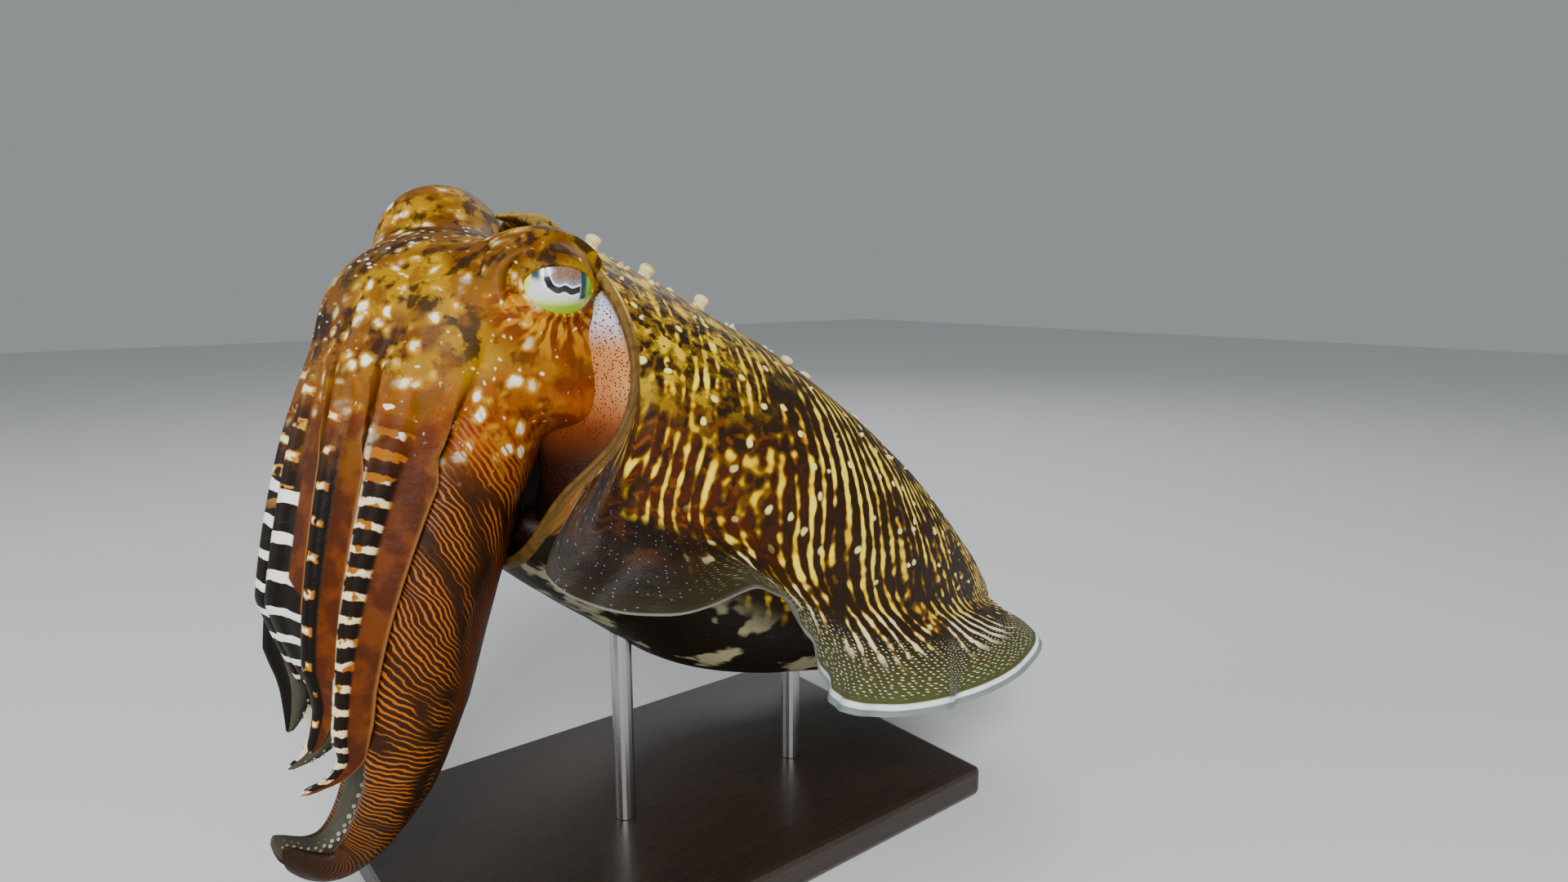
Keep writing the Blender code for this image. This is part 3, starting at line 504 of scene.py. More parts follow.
def crown_frame(t):
    """Centre, axis, front and left of the bundle; it runs straight on above its start."""
    t = np.asarray(t, float)
    inside = np.clip(t, 0, 1)
    shares = np.linspace(0, 1, len(CROWN_AXIS))

    def at(f):
        return np.stack([curve(list(zip(shares, column)), f) for column in zip(*CROWN_AXIS)], -1)

    axis = unit(at(inside + 0.01) - at(inside - 0.01))
    left = unit(CROWN_SIDEWAYS - axis * (axis @ CROWN_SIDEWAYS)[..., None])
    centre = at(inside) + axis * ((t - inside) * CROWN_LENGTH)[..., None]
    return centre, axis, np.cross(axis, left), left


def crown_point(t, radius, angle, forward=0.0):
    """Point at a radius and an angle round the bundle, swung forward by some metres."""
    centre, _, front, left = crown_frame(t)
    ahead = radius * np.cos(angle) + forward
    aside = radius * np.sin(angle) * CROWN_SIDE_SCALE
    return centre + front * ahead[..., None] + left * aside[..., None]


def sector(pair, side, t):
    """Angles of an arm's front and rear borders."""
    share = np.minimum(np.maximum(t, 0) / TWIST_END, 1)
    return [np.radians(BORDERS_ROOT[side][k] * (1 - share) + BORDERS_LOW[side][k] * share)
            for k in (pair - 1, pair)]


print("longest arm:", round(CROWN_LENGTH * ARM_PLANS[4][0] * 1000), "mm")

# %% [markdown]
# An arm is no plain tube. Its outer face has a rounded ridge along the front half and a flatter
# band along the rear half, and the band ends in a thin edge that lies over the next arm. Two
# curves give that section: how far a point is across the arm, and how deep it lies.

# %% The section of an arm
# Share across the arm (-1 front border, 1 rear border) and depth for stations round the outer face.
ACROSS = [(-1.0, -1.0), (-.93, -1.0), (-.82, -.93), (-.6, -.62), (-.35, -.30), (-.1, .02),
          (.1, .22), (.35, .5), (.6, .8), (.78, .97), (.86, 1.0), (.90, 1.0), (.94, .98), (1.0, 1.0)]
DEEP = [(-1.0, .5), (-.93, .28), (-.82, .12), (-.6, .02), (-.35, -.02), (-.1, .01), (.1, .075),
        (.35, .085), (.6, .075), (.78, .06), (.86, .045), (.90, .10), (.94, .2), (1.0, .5)]
FLAP = [(.60, 0.0), (.78, .45), (.86, 1.0), (.90, .62), (.94, .1), (1.0, 0.0)]
FLAP_WIDTH = {1: 0.0030, 2: 0.0040, 3: 0.0048, 4: 0.0010}
OUTER_COLUMNS = {1: 26, 2: 26, 3: 30, 4: 38}
INNER_COLUMNS = {1: 10, 2: 10, 3: 12, 4: 18}
HEAD_ROWS, PALM_ROWS, MOUTH_ROWS = 92, 12, 10
ARM_ROW, PALM_DEPTH = 0.0011, 0.028


def outer_stations(pair):
    """Stations round the outer face, closer together at the thin rear edge."""
    fine = 11
    coarse = np.linspace(-1, 0.70, OUTER_COLUMNS[pair] - fine + 1)
    return np.concatenate([coarse, np.linspace(0.70, 1, fine + 1)[1:]])


def arm_measures(pair, side, t):
    """Outer radius, depth, middle angle and half angle of an arm's section."""
    end, depth, _, _ = ARM_PLANS[pair]
    f = np.clip(t / end, 0, 1)
    taper = (1 - f**2.2) ** 0.8 * 0.95 + 0.05
    outer = curve(CROWN_RADIUS, t)
    if pair < 4:
        outer = outer * (1 - 0.35 * np.maximum(0, f - 0.75) / 0.25)
    depth = np.minimum(depth * taper, np.maximum(outer - CROWN_HOLLOW, 0.0015))
    front, rear = sector(pair, side, t)
    middle = (front + rear) / 2
    radius = np.maximum(outer - depth / 2, 0.002)
    half = ARM_WIDTH[pair > 3] * taper / 2 / radius
    limit = np.abs(rear - front) / 2
    if pair == 4:
        half = np.minimum(half + 0.6 * np.maximum(0, 0.35 - f), limit)
        middle = middle - side * 0.85 * (limit - half)
    half = np.minimum(half, limit) - ARM_GAP / 2 / np.maximum(radius, 0.006)
    free = ramp(t, WEB, WEB + 0.10)
    return outer, depth, mix((front + rear) / 2, middle, free), mix(limit, half, free)


def arm_point(pair, side, t, across, deep):
    """Point of an arm's section from its share across and its share of the depth."""
    end, _, keel, forward = ARM_PLANS[pair]
    outer, depth, middle, half = arm_measures(pair, side, t)
    apart = ramp(t, WEB, WEB + 0.08)
    depth = mix(PALM_DEPTH, depth, apart)
    thin = 1 - keel * apart * np.clip(across, 0, 1) ** 1.5
    radius = outer - depth * deep * thin - depth * 0.04 * (1 - thin)
    free = ARM_PLANS[max(pair - 1, 1)][0]
    swing = forward * np.maximum(0, (t - free) / max(end - free, 0.01)) ** 1.5
    return crown_point(t, radius, middle + side * half * across, swing)


def arm_length(pair, side, t):
    """Metres along an arm's ridge, from the start of the bundle to the stations t."""
    steps = np.linspace(0, ARM_PLANS[pair][0], 240)
    ridge = arm_point(pair, side, steps, 0 * steps - 0.2, 0 * steps)
    run = np.concatenate([[0], np.cumsum(np.linalg.norm(np.diff(ridge, axis=0), axis=1))])
    return np.interp(t, steps, run) + np.clip(t, -9, 0) * CROWN_LENGTH


def outer_face(pair, side, t):
    """Points and shares across of the outer face at stations t (rows,), with its thin rear edge."""
    x = outer_stations(pair)[None, :]
    t = np.asarray(t, float)[:, None] + 0 * x
    opening = ramp(t, -0.06, WEB)
    across = mix(np.linspace(-1, 1, x.shape[1])[None, :] + 0 * t, curve(ACROSS, x) + 0 * t, opening)
    deep = curve(DEEP, x) * opening
    outer, _, _, half = arm_measures(pair, side, t)
    flap = FLAP_WIDTH[pair] * curve(FLAP, x) * ramp(t, WEB, WEB + 0.06)
    flap = flap * (1 - ramp(t / ARM_PLANS[pair][0], 0.7, 1.0))
    reach = across + flap / np.maximum(outer * half, 0.004)
    return arm_point(pair, side, t, reach, deep), across


def inner_face(pair, side, t):
    """Points of the oral face, from the rear border round to the front border."""
    turn = np.linspace(0, math.pi, INNER_COLUMNS[pair] + 1)[None, :]
    t = np.asarray(t, float)[:, None] + 0 * turn
    across = np.sign(np.cos(turn)) * np.abs(np.cos(turn)) ** 0.75
    deep = 0.5 + 0.5 * np.sin(turn) ** 0.75
    return arm_point(pair, side, t, across + 0 * t, deep + 0 * t), across + 0 * t


print("outer face of arm 4 has", len(outer_stations(4)), "columns")

# %% [markdown]
# Head and arms are one skin, shaped like a glove. The palm starts at the top of the head, spreads
# over it and runs down to where the arms part. There each arm goes on with its own share of the
# columns, and an inner sheet closes the palm at the mouth. All these sheets share their border
# points, so welding makes one closed skin of them.

# %% Sheets of the glove
SECTORS = [(1, pair) for pair in (1, 2, 3, 4)] + [(-1, pair) for pair in (4, 3, 2, 1)]
CROWN_BELOW_HEAD = 0.022
# Degrees from the top of the head: where the palm ends, and where the head passes into the arms.
PALM_END, PASSING = 122.0, (103, 121)


def join_sectors(parts):
    """Set the sectors side by side round the bundle; shared border points are kept once."""
    rows = [part if k == len(parts) - 1 else part[:, :-1] for k, part in enumerate(parts)]
    return np.concatenate(rows, axis=1)


def ordered(side, values):
    """Columns of a right arm run the other way round the bundle."""
    return values if side > 0 else values[:, ::-1]


def palm_stations():
    """Polar angles from the top of the head, and the matching stations along the bundle."""
    polar = np.radians(np.linspace(0.0, PALM_END, HEAD_ROWS + 1))
    down = np.tan(math.pi - np.clip(polar, math.radians(92), None))
    station = (CROWN_RADIUS[0][1] / down - CROWN_BELOW_HEAD) / CROWN_LENGTH
    below = np.linspace(station[-1], WEB, PALM_ROWS + 1)[1:]
    return np.concatenate([polar, np.full(len(below), polar[-1])]), np.concatenate([station, below])


def palm():
    """Sheet over the head: it leaves the blend of ellipsoids and passes softly into the arms."""
    polar, station = palm_stations()
    pieces, maps, marks = [], [], []
    for side, pair in SECTORS:
        low, across = outer_face(pair, side, station)
        front, rear = (border[()] for border in sector(pair, side, 0.0))
        angle = front + (rear - front) * (across + 1) / 2
        _, axis, ahead, left = crown_frame(0.0)
        direction = -axis * np.cos(polar)[:, None, None] + np.sin(polar)[:, None, None] * (
            ahead * np.cos(angle)[..., None] + left * CROWN_SIDE_SCALE * np.sin(angle)[..., None])
        high = head_point(unit(direction))
        crease = 0.0045 * curve(DEEP, outer_stations(pair))[None, :] * ramp(polar, 1.15, 1.9)[:, None]
        high = high - unit(direction) * crease[..., None]
        share = ramp(polar, *map(math.radians, PASSING))[:, None] + 0 * across
        pieces.append(ordered(side, mix(high, low, share)))
        along = arm_length(pair, side, station)
        maps.append(ordered(side, np.stack([along[:, None] + 0 * across, across], -1)))
        number = pair if side > 0 else pair + 4
        marks.append(ordered(side, np.stack([number + 0 * across, 0 * across], -1)))
    return pieces, maps, marks


def arm_skin(pair, side):
    """Rings of one arm below the web, each from the front border round and back to it."""
    end = ARM_PLANS[pair][0]
    rows = round((end - WEB) * CROWN_LENGTH / ARM_ROW)
    t = WEB + (end - WEB) * np.linspace(0, 1, rows + 1) ** 0.95
    outer, across = outer_face(pair, side, t)
    inner, inner_across = inner_face(pair, side, t)
    points = np.concatenate([outer, inner[:, 1:]], axis=1)
    points[-1] = points[-1].mean(axis=0)
    shares = np.concatenate([across, 3 - inner_across[:, 1:]], axis=1)
    along = arm_length(pair, side, t)[:, None] + 0 * shares
    number = pair if side > 0 else pair + 4
    face = np.concatenate([0 * across, 1 + 0 * inner_across[:, 1:]], axis=1)
    return points, np.stack([along, shares], -1), np.stack([number + 0 * shares, face], -1)


def mouth():
    """Inner sheet from the arms' oral faces up to the mouth."""
    pieces, maps, marks = [], [], []
    for side, pair in SECTORS:
        ring, across = inner_face(pair, side, np.array([WEB]))
        middle = crown_point(np.array(0.0), np.array(0.0), 0.0)
        share = np.linspace(0, 1, MOUTH_ROWS + 1)[:, None, None]
        lift = crown_frame(0.0)[1] * (0.010 * np.sin(share * math.pi))
        points = ring * (1 - share) + middle * share + lift
        pieces.append(ordered(side, points[:, ::-1]))
        flat = np.stack([share[..., 0] * 0 + 0.02 + 0 * across, 3 + 0 * share[..., 0] + 0 * across], -1)
        maps.append(ordered(side, flat))
        marks.append(ordered(side, np.stack([flat[..., 0] * 0 + pair, flat[..., 0] * 0 + 1], -1)))
    return pieces, maps, marks


print("the palm has", len(palm_stations()[0]), "rows")

# %% [markdown]
# Each eye looks out of a wide slit between two lids. The slit would be coarse on the plain grid,
# so the faces round each eye are subdivided first. Then the skin is pulled in under the eyeball
# inside the slit, laid on it as a rounded rim along the slit's edge, and left as it was further out.

# %% Lids
LID_LONG, LID_HIGH = 0.0138, 0.0090
SLIT_TILT = math.radians(6)
FINE_SKIN_RADIUS = 0.021


def eye_plane(side):
    """An eye's axis, the direction along its slit towards the snout, and the one across, upwards."""
    axis = eye_axis(side)
    front, _, up = head_axes()
    along = front * math.cos(SLIT_TILT) + up * math.sin(SLIT_TILT)
    along = unit(along - axis * (along @ axis))
    across = np.cross(axis, along)
    return axis, along, across * np.sign(across[2])


def eye_local(side, points):
    """Places of points along the slit, across it and out along the eye's axis."""
    axis, along, up = eye_plane(side)
    offset = points - EYES[side]
    return offset @ along, offset @ up, offset @ axis


def refine_round_eyes(bm):
    """Cut each edge of the faces near an eye in three, and lay the new points on the head."""
    for side in (1, -1):
        axis = Vector(eye_axis(side))
        eye = Vector(EYES[side])
        near = [f for f in bm.faces if (f.calc_center_median() - eye).length < FINE_SKIN_RADIUS
                and f.normal.dot(axis) > 0.1]
        edges = {edge for face in near for edge in face.edges}
        bmesh.ops.subdivide_edges(bm, edges=list(edges), cuts=2, use_grid_fill=True)
        verts = [v for v in bm.verts if (v.co - eye).length < FINE_SKIN_RADIUS + 0.002
                 and v.normal.dot(axis) > 0]
        rays = unit(np.array([v.co for v in verts]) - HEAD_CENTRE)
        for vert, place in zip(verts, head_point(rays)):
            vert.co = place


def shape_lids(bm, side):
    """Sink the skin under the eyeball inside the slit and roll it into lids round the slit."""
    axis = eye_axis(side)
    verts = [v for v in bm.verts if (v.co - Vector(EYES[side])).length < 0.030]
    points = np.array([v.co for v in verts])
    x, y, z = eye_local(side, points)
    wide = np.hypot(x, y)
    rho = np.hypot(x / LID_LONG, y / LID_HIGH)
    ball = np.sqrt(np.maximum(EYE_RADIUS**2 - wide**2, 1e-8)) - EYE_SUNK
    rim = 0.0009 * np.exp(-((rho - 1.12) / 0.10) ** 2)
    fold = -0.0006 * np.exp(-((rho - 1.34) / 0.08) ** 2) * ramp(y, -0.002, 0.004)
    on_ball = ball + 0.0004 - 0.0045 * (1 - ramp(rho, 0.86, 1.03))
    height = mix(on_ball, z, ramp(rho, 1.12, 1.75)) + (rim + fold) * ramp(rho, 0.95, 1.1)
    height = np.where(rho > 1.05, np.maximum(height, ball + 0.0012), height)
    reach = ramp(z, -0.022, -0.014)
    for vert, old, new, share in zip(verts, z, height, reach):
        vert.co += Vector(axis) * float((new - old) * share)


def build_glove():
    """Weld palm, mouth and arms, then shape the lids."""
    bm = bmesh.new()
    pieces, maps, marks = palm()
    sheet(bm, join_sectors(pieces), {"arm": join_sectors(maps), "mark": join_sectors(marks)})
    pieces, maps, marks = mouth()
    sheet(bm, join_sectors(pieces), {"arm": join_sectors(maps), "mark": join_sectors(marks)})
    for side, pair in SECTORS:
        points, arm_map, mark = arm_skin(pair, side)
        sheet(bm, points, {"arm": arm_map, "mark": mark})
    bmesh.ops.remove_doubles(bm, verts=bm.verts, dist=1e-6)
    bm.normal_update()
    print("open edges left in the glove:", sum(e.is_boundary for e in bm.edges))
    bmesh.ops.recalc_face_normals(bm, faces=bm.faces)
    refine_round_eyes(bm)
    bm.normal_update()
    for side in (1, -1):
        shape_lids(bm, side)
    arms = [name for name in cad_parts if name.startswith("arm_")]
    return as_piece("head_and_arms", bm, ["head"] + arms)


glove = build_glove()

# %% [markdown]
# The eyeball is a smooth ball that fills the slit. It is a sphere of rings round the eye's own
# axis, so it is smooth right up to the lids, and its map is laid along and across the slit, so
# that the pupil can be drawn on it.


# %% Eyeballs
def build_eye(side):
    """Ball whose third axis looks out of the slit; its map gives metres along and across it."""
    axis, along, up = eye_plane(side)
    bm = bmesh.new()
    bmesh.ops.create_uvsphere(bm, u_segments=64, v_segments=40, radius=EYE_RADIUS)
    turn = Matrix((along, up, axis * np.sign(np.cross(along, up) @ axis))).transposed()
    layer = bm.loops.layers.uv.new("eye")
    for face in bm.faces:
        for loop in face.loops:
            loop[layer].uv = (loop.vert.co.x, loop.vert.co.y)
    bmesh.ops.rotate(bm, cent=(0, 0, 0), matrix=turn, verts=bm.verts)
    bmesh.ops.translate(bm, vec=Vector(EYES[side] - axis * EYE_SUNK), verts=bm.verts)
    word = "left" if side > 0 else "right"
    return as_piece(f"eyeball_{word}", bm, (f"eye_{word}",))


eyeballs = [build_eye(1), build_eye(-1)]

# %% [markdown]
# The neck comes out of the mantle's open front and carries the head; the funnel is the short
# nozzle below it that the animal swims with. Both are lofts: one closed ring of points at each
# station, all rings bridged to a tube, and the ends filled.


# %% Neck and funnel
# How deep the neck lies under the mantle's surface, by the distance behind the front edge.
NECK_INSETS = [(-0.022, 0.044), (-0.010, 0.036), (-0.004, 0.020), (0.001, 0.0085), (0.008, 0.0055),
               (0.030, 0.0085), (0.070, 0.0100)]
FUNNEL_FRONT = np.array((-0.074, 0.004, 0.167))
FUNNEL_INSET = 0.026
FUNNEL_SHAPE = [(-0.15, 0.0150), (0.3, 0.0140), (0.7, 0.0115), (1.0, 0.0090)]
FUNNEL_MOUTH = [(1.0, 0.0086), (1.004, 0.0078), (0.995, 0.0068), (0.97, 0.0062), (0.55, 0.0058)]


def tube(name, rings, replaced):
    """Closed loft: neighbouring rings are bridged, each end is filled."""
    bm = bmesh.new()
    loops = []
    for ring in rings:
        verts = [bm.verts.new(p) for p in ring]
        loops.append([bm.edges.new((a, b)) for a, b in zip(verts, verts[1:] + verts[:1])])
    for near, far in zip(loops, loops[1:]):
        bmesh.ops.bridge_loops(bm, edges=near + far)
    bmesh.ops.holes_fill(bm, edges=[e for e in bm.edges if e.is_boundary], sides=0)
    bmesh.ops.triangulate(bm, faces=[f for f in bm.faces if len(f.verts) > 4])
    return as_piece(name, bm, replaced)


def neck_ring(t, turn):
    """Ring of the neck's skin: t runs from well inside the head, under the lip, to the floor."""
    edge = margin(turn)
    floor = mix(RECESS_FLOOR[0], RECESS_FLOOR[1], (1 - np.cos(turn)) / 2)
    station = edge - 0.060 + (floor - edge + 0.060) * t
    below = np.maximum(0, -np.cos(turn) - 0.25) ** 2
    inset = curve(NECK_INSETS, (station - edge) * MANTLE_LENGTH) + 0.034 * below
    return mantle_point(station, turn, -inset)


neck = tube("neck_skin_piece", [neck_ring(t, np.linspace(0, 2 * math.pi, 97)[:-1])
                                for t in np.linspace(0, 1, 34)], ("neck",))


def funnel_rings():
    """Rings from the root to the mouth, over its rounded rim and back inside."""
    rear = mantle_point(0.30, math.pi, -FUNNEL_INSET)
    axis = unit(FUNNEL_FRONT - rear)
    side = unit(LEFT - axis * (LEFT @ axis))
    up = np.cross(side, axis)
    length = np.linalg.norm(FUNNEL_FRONT - rear)
    turn = np.linspace(0, 2 * math.pi, 49)[:-1]
    outside = [(t, float(curve(FUNNEL_SHAPE, t))) for t in np.linspace(-0.15, 0.99, 24)]
    rings = []
    for t, radius in outside + FUNNEL_MOUTH:
        ring = rear + axis * length * t + side * (1.25 * radius * np.sin(turn))[:, None]
        rings.append(ring + up * (radius * np.cos(turn))[:, None])
    return rings


funnel = tube("funnel_skin", funnel_rings(), ("funnel",))

# %% [markdown]
# Papillae are small outgrowths that the animal raises at will: a few large knobs along the back,
# low warts between them, many grains beside them, and one flat leaf at the front tip of the mantle.
# A knob is a profile spun round its own axis, with a flared foot that sinks into the skin.

# %% Shapes to stamp on the skin
# Radius and height of an outline's points, in shares of the outgrowth's radius and height.
KNOB = [(1.7, -.12), (1.2, .03), (.92, .13), (.95, .30), (1.1, .50), (1.12, .68), (.94, .86), (.55, .98),
        (0, 1.03)]
WART = [(1.8, -.2), (1.25, .12), (.98, .45), (.75, .78), (.4, .96), (0, 1.02)]
GRAIN = [(1.6, -.2), (1.0, .25), (.62, .78), (0, 1.0)]


def spun(name, outline, steps):
    """Closed mesh of radius and height 1: an outline spun round Z."""
    bm = bmesh.new()
    verts = [bm.verts.new((r, 0, z)) for r, z in outline]
    edges = [bm.edges.new(pair) for pair in zip(verts, verts[1:])]
    bmesh.ops.spin(bm, geom=verts + edges, cent=(0, 0, 0), axis=(0, 0, 1), dvec=(0, 0, 0),
                   angle=2 * math.pi, steps=steps, use_merge=True)
    bmesh.ops.remove_doubles(bm, verts=bm.verts, dist=0.01)
    bmesh.ops.holes_fill(bm, edges=[e for e in bm.edges if e.is_boundary], sides=0)
    bmesh.ops.recalc_face_normals(bm, faces=bm.faces)
    shape = bpy.data.meshes.new(name)
    bm.to_mesh(shape)
    bm.free()
    return shape


def stamp(bm, shape, place, normal, radius, height):
    """Add a spun shape to a piece, standing on the skin at a place."""
    turn = Vector((0, 0, 1)).rotation_difference(Vector(normal)).to_matrix().to_4x4()
    size = Matrix.Diagonal((radius, radius, height, 1.0))
    placed = shape.copy()
    placed.transform(Matrix.Translation(Vector(place)) @ turn @ size)
    bm.from_mesh(placed)
    bpy.data.meshes.remove(placed)


def on_back(s, degrees):
    """Place and outward direction of a point of the back."""
    angle = math.radians(degrees)
    place = mantle_point(s, angle)
    across = mantle_point(s, angle + 0.02) - mantle_point(s, angle - 0.02)
    along = mantle_point(s + 0.01, angle) - mantle_point(s - 0.01, angle)
    return place, unit(np.cross(across, along))


print("a knob's outline has", len(KNOB), "points")

# %% [markdown]
# The back carries a few tall knobs in the places where the animal raises them, many fine grains
# and two rows of low warts. Only the knobs are placed one by one, the others are scattered.

# %% Papillae
# Station, degrees from the back line, radius and height of each knob.
PAPILLAE = [(.080, 14, .0030, .0052), (.155, 13, .0030, .0056), (.235, 14, .0030, .0058),
            (.300, -14, .0028, .0042), (.390, 13, .0028, .0040), (.430, 12, .0026, .0036),
            (.545, 11, .0030, .0038), (.660, -8, .0026, .0032), (.200, -16, .0030, .0054),
            (.500, -16, .0026, .0034)]
GRAINS, WARTS = 150, 17


def stamp_grains(bm, draw):
    """Scatter grains: two thirds of them near the back line, the rest over the flanks."""
    grain = spun("grain", GRAIN, 8)
    for k in range(GRAINS):
        s = draw.uniform(0.04, 0.93)
        degrees = draw.gauss(0, 1) * 26 if k % 3 else draw.uniform(-88, 88)
        if float(margin(math.radians(degrees))) > s - 0.02:
            continue
        place, normal = on_back(s, degrees)
        size = draw.uniform(0.0006, 0.0015) * (1.1 - 0.5 * s)
        stamp(bm, grain, place, normal, size, size * draw.uniform(1.0, 1.7))


def stamp_warts(bm, draw):
    """Two rows of low warts beside the back line, left and right by turns."""
    wart = spun("wart", WART, 14)
    for k in range(2 * WARTS):
        s = 0.10 + 0.78 * (k // 2 + draw.uniform(-0.35, 0.35)) / (WARTS - 1)
        place, normal = on_back(s, (1 - k % 2 * 2) * draw.uniform(7, 21))
        size = draw.uniform(0.0013, 0.0022) * (1.1 - 0.4 * s)
        stamp(bm, wart, place, normal, size, size * draw.uniform(0.8, 1.3))


def build_papillae():
    draw = random.Random(7)
    bm = bmesh.new()
    knob = spun("knob", KNOB, 20)
    for s, degrees, radius, height in PAPILLAE:
        place, normal = on_back(s, degrees)
        stamp(bm, knob, place, normal, radius * 1.1, height * 1.15)
    stamp_grains(bm, draw)
    stamp_warts(bm, draw)
    return as_piece("papillae", bm)


papillae = build_papillae()

# %% [markdown]
# A flat leaf of skin lies back over the front tip of the mantle, between the eyes. A ball that is
# pressed flat and curled has the right soft rim all round and needs no seam.

# %% Leaf at the front tip
LEAF_STATION = 0.035
LEAF_HALF_LENGTH, LEAF_HALF_WIDTH, LEAF_HALF_THICKNESS, LEAF_LIFT = 0.0195, 0.0100, 0.0034, 0.0012


def build_leaf():
    """Flat leaf that lies back over the front tip of the mantle."""
    bm = bmesh.new()
    bmesh.ops.create_uvsphere(bm, u_segments=40, v_segments=20, radius=1.0)
    place, _ = on_back(LEAF_STATION, 0)
    for vert in bm.verts:
        x, y, z = vert.co
        curl = 0.0006 * math.sin(3.2 * x + 1.4 * y) - (0.0092 if x < 0 else 0.0034) * x * x
        flat = TAIL * (x * LEAF_HALF_LENGTH) + LEFT * (y * LEAF_HALF_WIDTH * (1 - 0.25 * x))
        vert.co = place + flat + BACK * (z * LEAF_HALF_THICKNESS + LEAF_LIFT + curl)
    return as_piece("leaf_papilla", bm)


leaf = build_leaf()

# %% [markdown]
# Suckers stand in four rows on the face of each arm that looks towards the mouth. There are
# hundreds, so each is a short spun cup of a few dozen faces.

# %% Suckers
SUCKER_CUP = [(0.75, -.9), (.95, .3), (1.0, .8), (.8, 1.0), (.45, .55), (0, .45)]
SUCKER_ROWS = (-0.66, -0.22, 0.22, 0.66)
SUCKER_SPACING, SUCKER_RADIUS = 0.0048, 0.0019


def build_suckers():
    draw = random.Random(11)
    bm = bmesh.new()
    cup = spun("cup", SUCKER_CUP, 7)
    for side, pair in SECTORS:
        end = ARM_PLANS[pair][0]
        count = round((end - WEB) * CROWN_LENGTH / SUCKER_SPACING)
        for k in range(count):
            f = (k + 0.5) / count
            t = np.array(WEB + (end * 0.97 - WEB) * f ** 0.9)
            size = SUCKER_RADIUS * (1.05 - 0.8 * f) * draw.uniform(0.9, 1.1)
            for column, share in enumerate(SUCKER_ROWS):
                level = t + (column % 2) * 0.011
                if level > end * 0.96:
                    continue
                deep = np.array(1 - 0.5 * abs(share) ** 3.0)
                place = arm_point(pair, side, level, np.array(share * 0.85), deep)
                centre, axis, _, _ = crown_frame(level)
                normal = centre - place
                normal = unit(normal - axis * (normal @ axis))
                stamp(bm, cup, place, normal, size, size * 0.8)
    return as_piece("suckers", bm)


suckers = build_suckers()

# %% [markdown]
# Now the finishes. The skin of a living cuttlefish is thin, wet and full of pigment sacs, so its
# pattern has no paint edges: bright lines have a darker, warmer halo, and spots fade into the
# ground colour. Each pattern is built as a value from 0 to 1, and pigments are then laid over each
# other where their values are high. One small function adds any node with its settings and links.


# %% Nodes and pigments
def colour(code):
    """Linear colour from an sRGB hex code."""
    parts = [int(code[k:k + 2], 16) / 255 for k in (1, 3, 5)]
    return (*[c / 12.92 if c <= 0.04045 else ((c + 0.055) / 1.055) ** 2.4 for c in parts], 1.0)


def node(tree, kind, settings=None, links=None):
    """Add a node; settings name sockets or properties, links give sources for its sockets."""
    made = tree.nodes.new("ShaderNode" + kind)
    for key, value in (settings or {}).items():
        if isinstance(key, int) or key in made.inputs:
            made.inputs[key].default_value = value
        else:
            setattr(made, key, value)
    for key, source in (links or {}).items():
        if isinstance(source, bpy.types.Node):
            source = next(socket for socket in source.outputs if socket.enabled)
        tree.links.new(source, made.inputs[key])
    return made


def pigments(tree, ground, layers):
    """Lay pigments over a ground. Each layer is a pigment, then its fades (value, none, full, most).

    A fade is 0 where its value is at none and rises softly to most, which is 1 if left out, where
    the value reaches full; a value alone is used as it is. A pigment covers what lies under it by
    the product of its fades. Ground and pigments are hex codes or nodes.
    """
    shown = ground
    for pigment, *fades in layers:
        mask = None
        for fade, *ends in fades:
            if ends:
                none, full, most = (*ends, 1.0)[:3]
                fade = node(tree, "MapRange", {"interpolation_type": "SMOOTHSTEP", "From Min": none,
                                               "From Max": full, "To Max": most}, {"Value": fade})
            mask = fade if mask is None else node(tree, "Math", {"operation": "MULTIPLY"},
                                                  {0: mask, 1: fade})
        settings, links = {"data_type": "RGBA"}, {0: mask}
        for socket, tint in ((6, shown), (7, pigment)):
            if isinstance(tint, str):
                settings[socket] = colour(tint)
            else:
                links[socket] = tint
        shown = node(tree, "Mix", settings, links)
    return shown


def object_mm(tree):
    """Place in the part's own frame, in mm."""
    space = node(tree, "TexCoord")
    return node(tree, "VectorMath", {"operation": "SCALE", "Scale": 1000.0},
                {0: space.outputs["Object"]})


def map_mm(tree, name):
    """Place on one of a piece's own maps, in mm."""
    own = node(tree, "UVMap", {"uv_map": name})
    return node(tree, "VectorMath", {"operation": "SCALE", "Scale": 1000.0}, {0: own})


def map_values(tree, name):
    """Outputs of the two values that a map carries."""
    return node(tree, "SeparateXYZ", {}, {0: node(tree, "UVMap", {"uv_map": name})}).outputs


def fields(tree, rows):
    """Noises and cells by name, from rows of kind, size in mm, place and further settings."""
    return {name: node(tree, kind, {**settings, "Scale": 1 / size}, {"Vector": place})
            for name, (kind, size, place, settings) in rows.items()}


def wander(tree, place, size, amount):
    """Shift a place by soft noise of a size and an amount, both in mm."""
    cloud = node(tree, "TexNoise", {"Scale": 1 / size, "Detail": 2.0}, {"Vector": place})
    centred = node(tree, "VectorMath", {"operation": "SUBTRACT", 1: (0.5, 0.5, 0.5)},
                   {0: cloud.outputs["Color"]})
    shift = node(tree, "VectorMath", {"operation": "SCALE", "Scale": 2 * amount}, {0: centred})
    return node(tree, "VectorMath", {"operation": "ADD"}, {0: place, 1: shift})


print("golden pigment, linear:", [round(c, 3) for c in colour("#c8922a")[:3]])

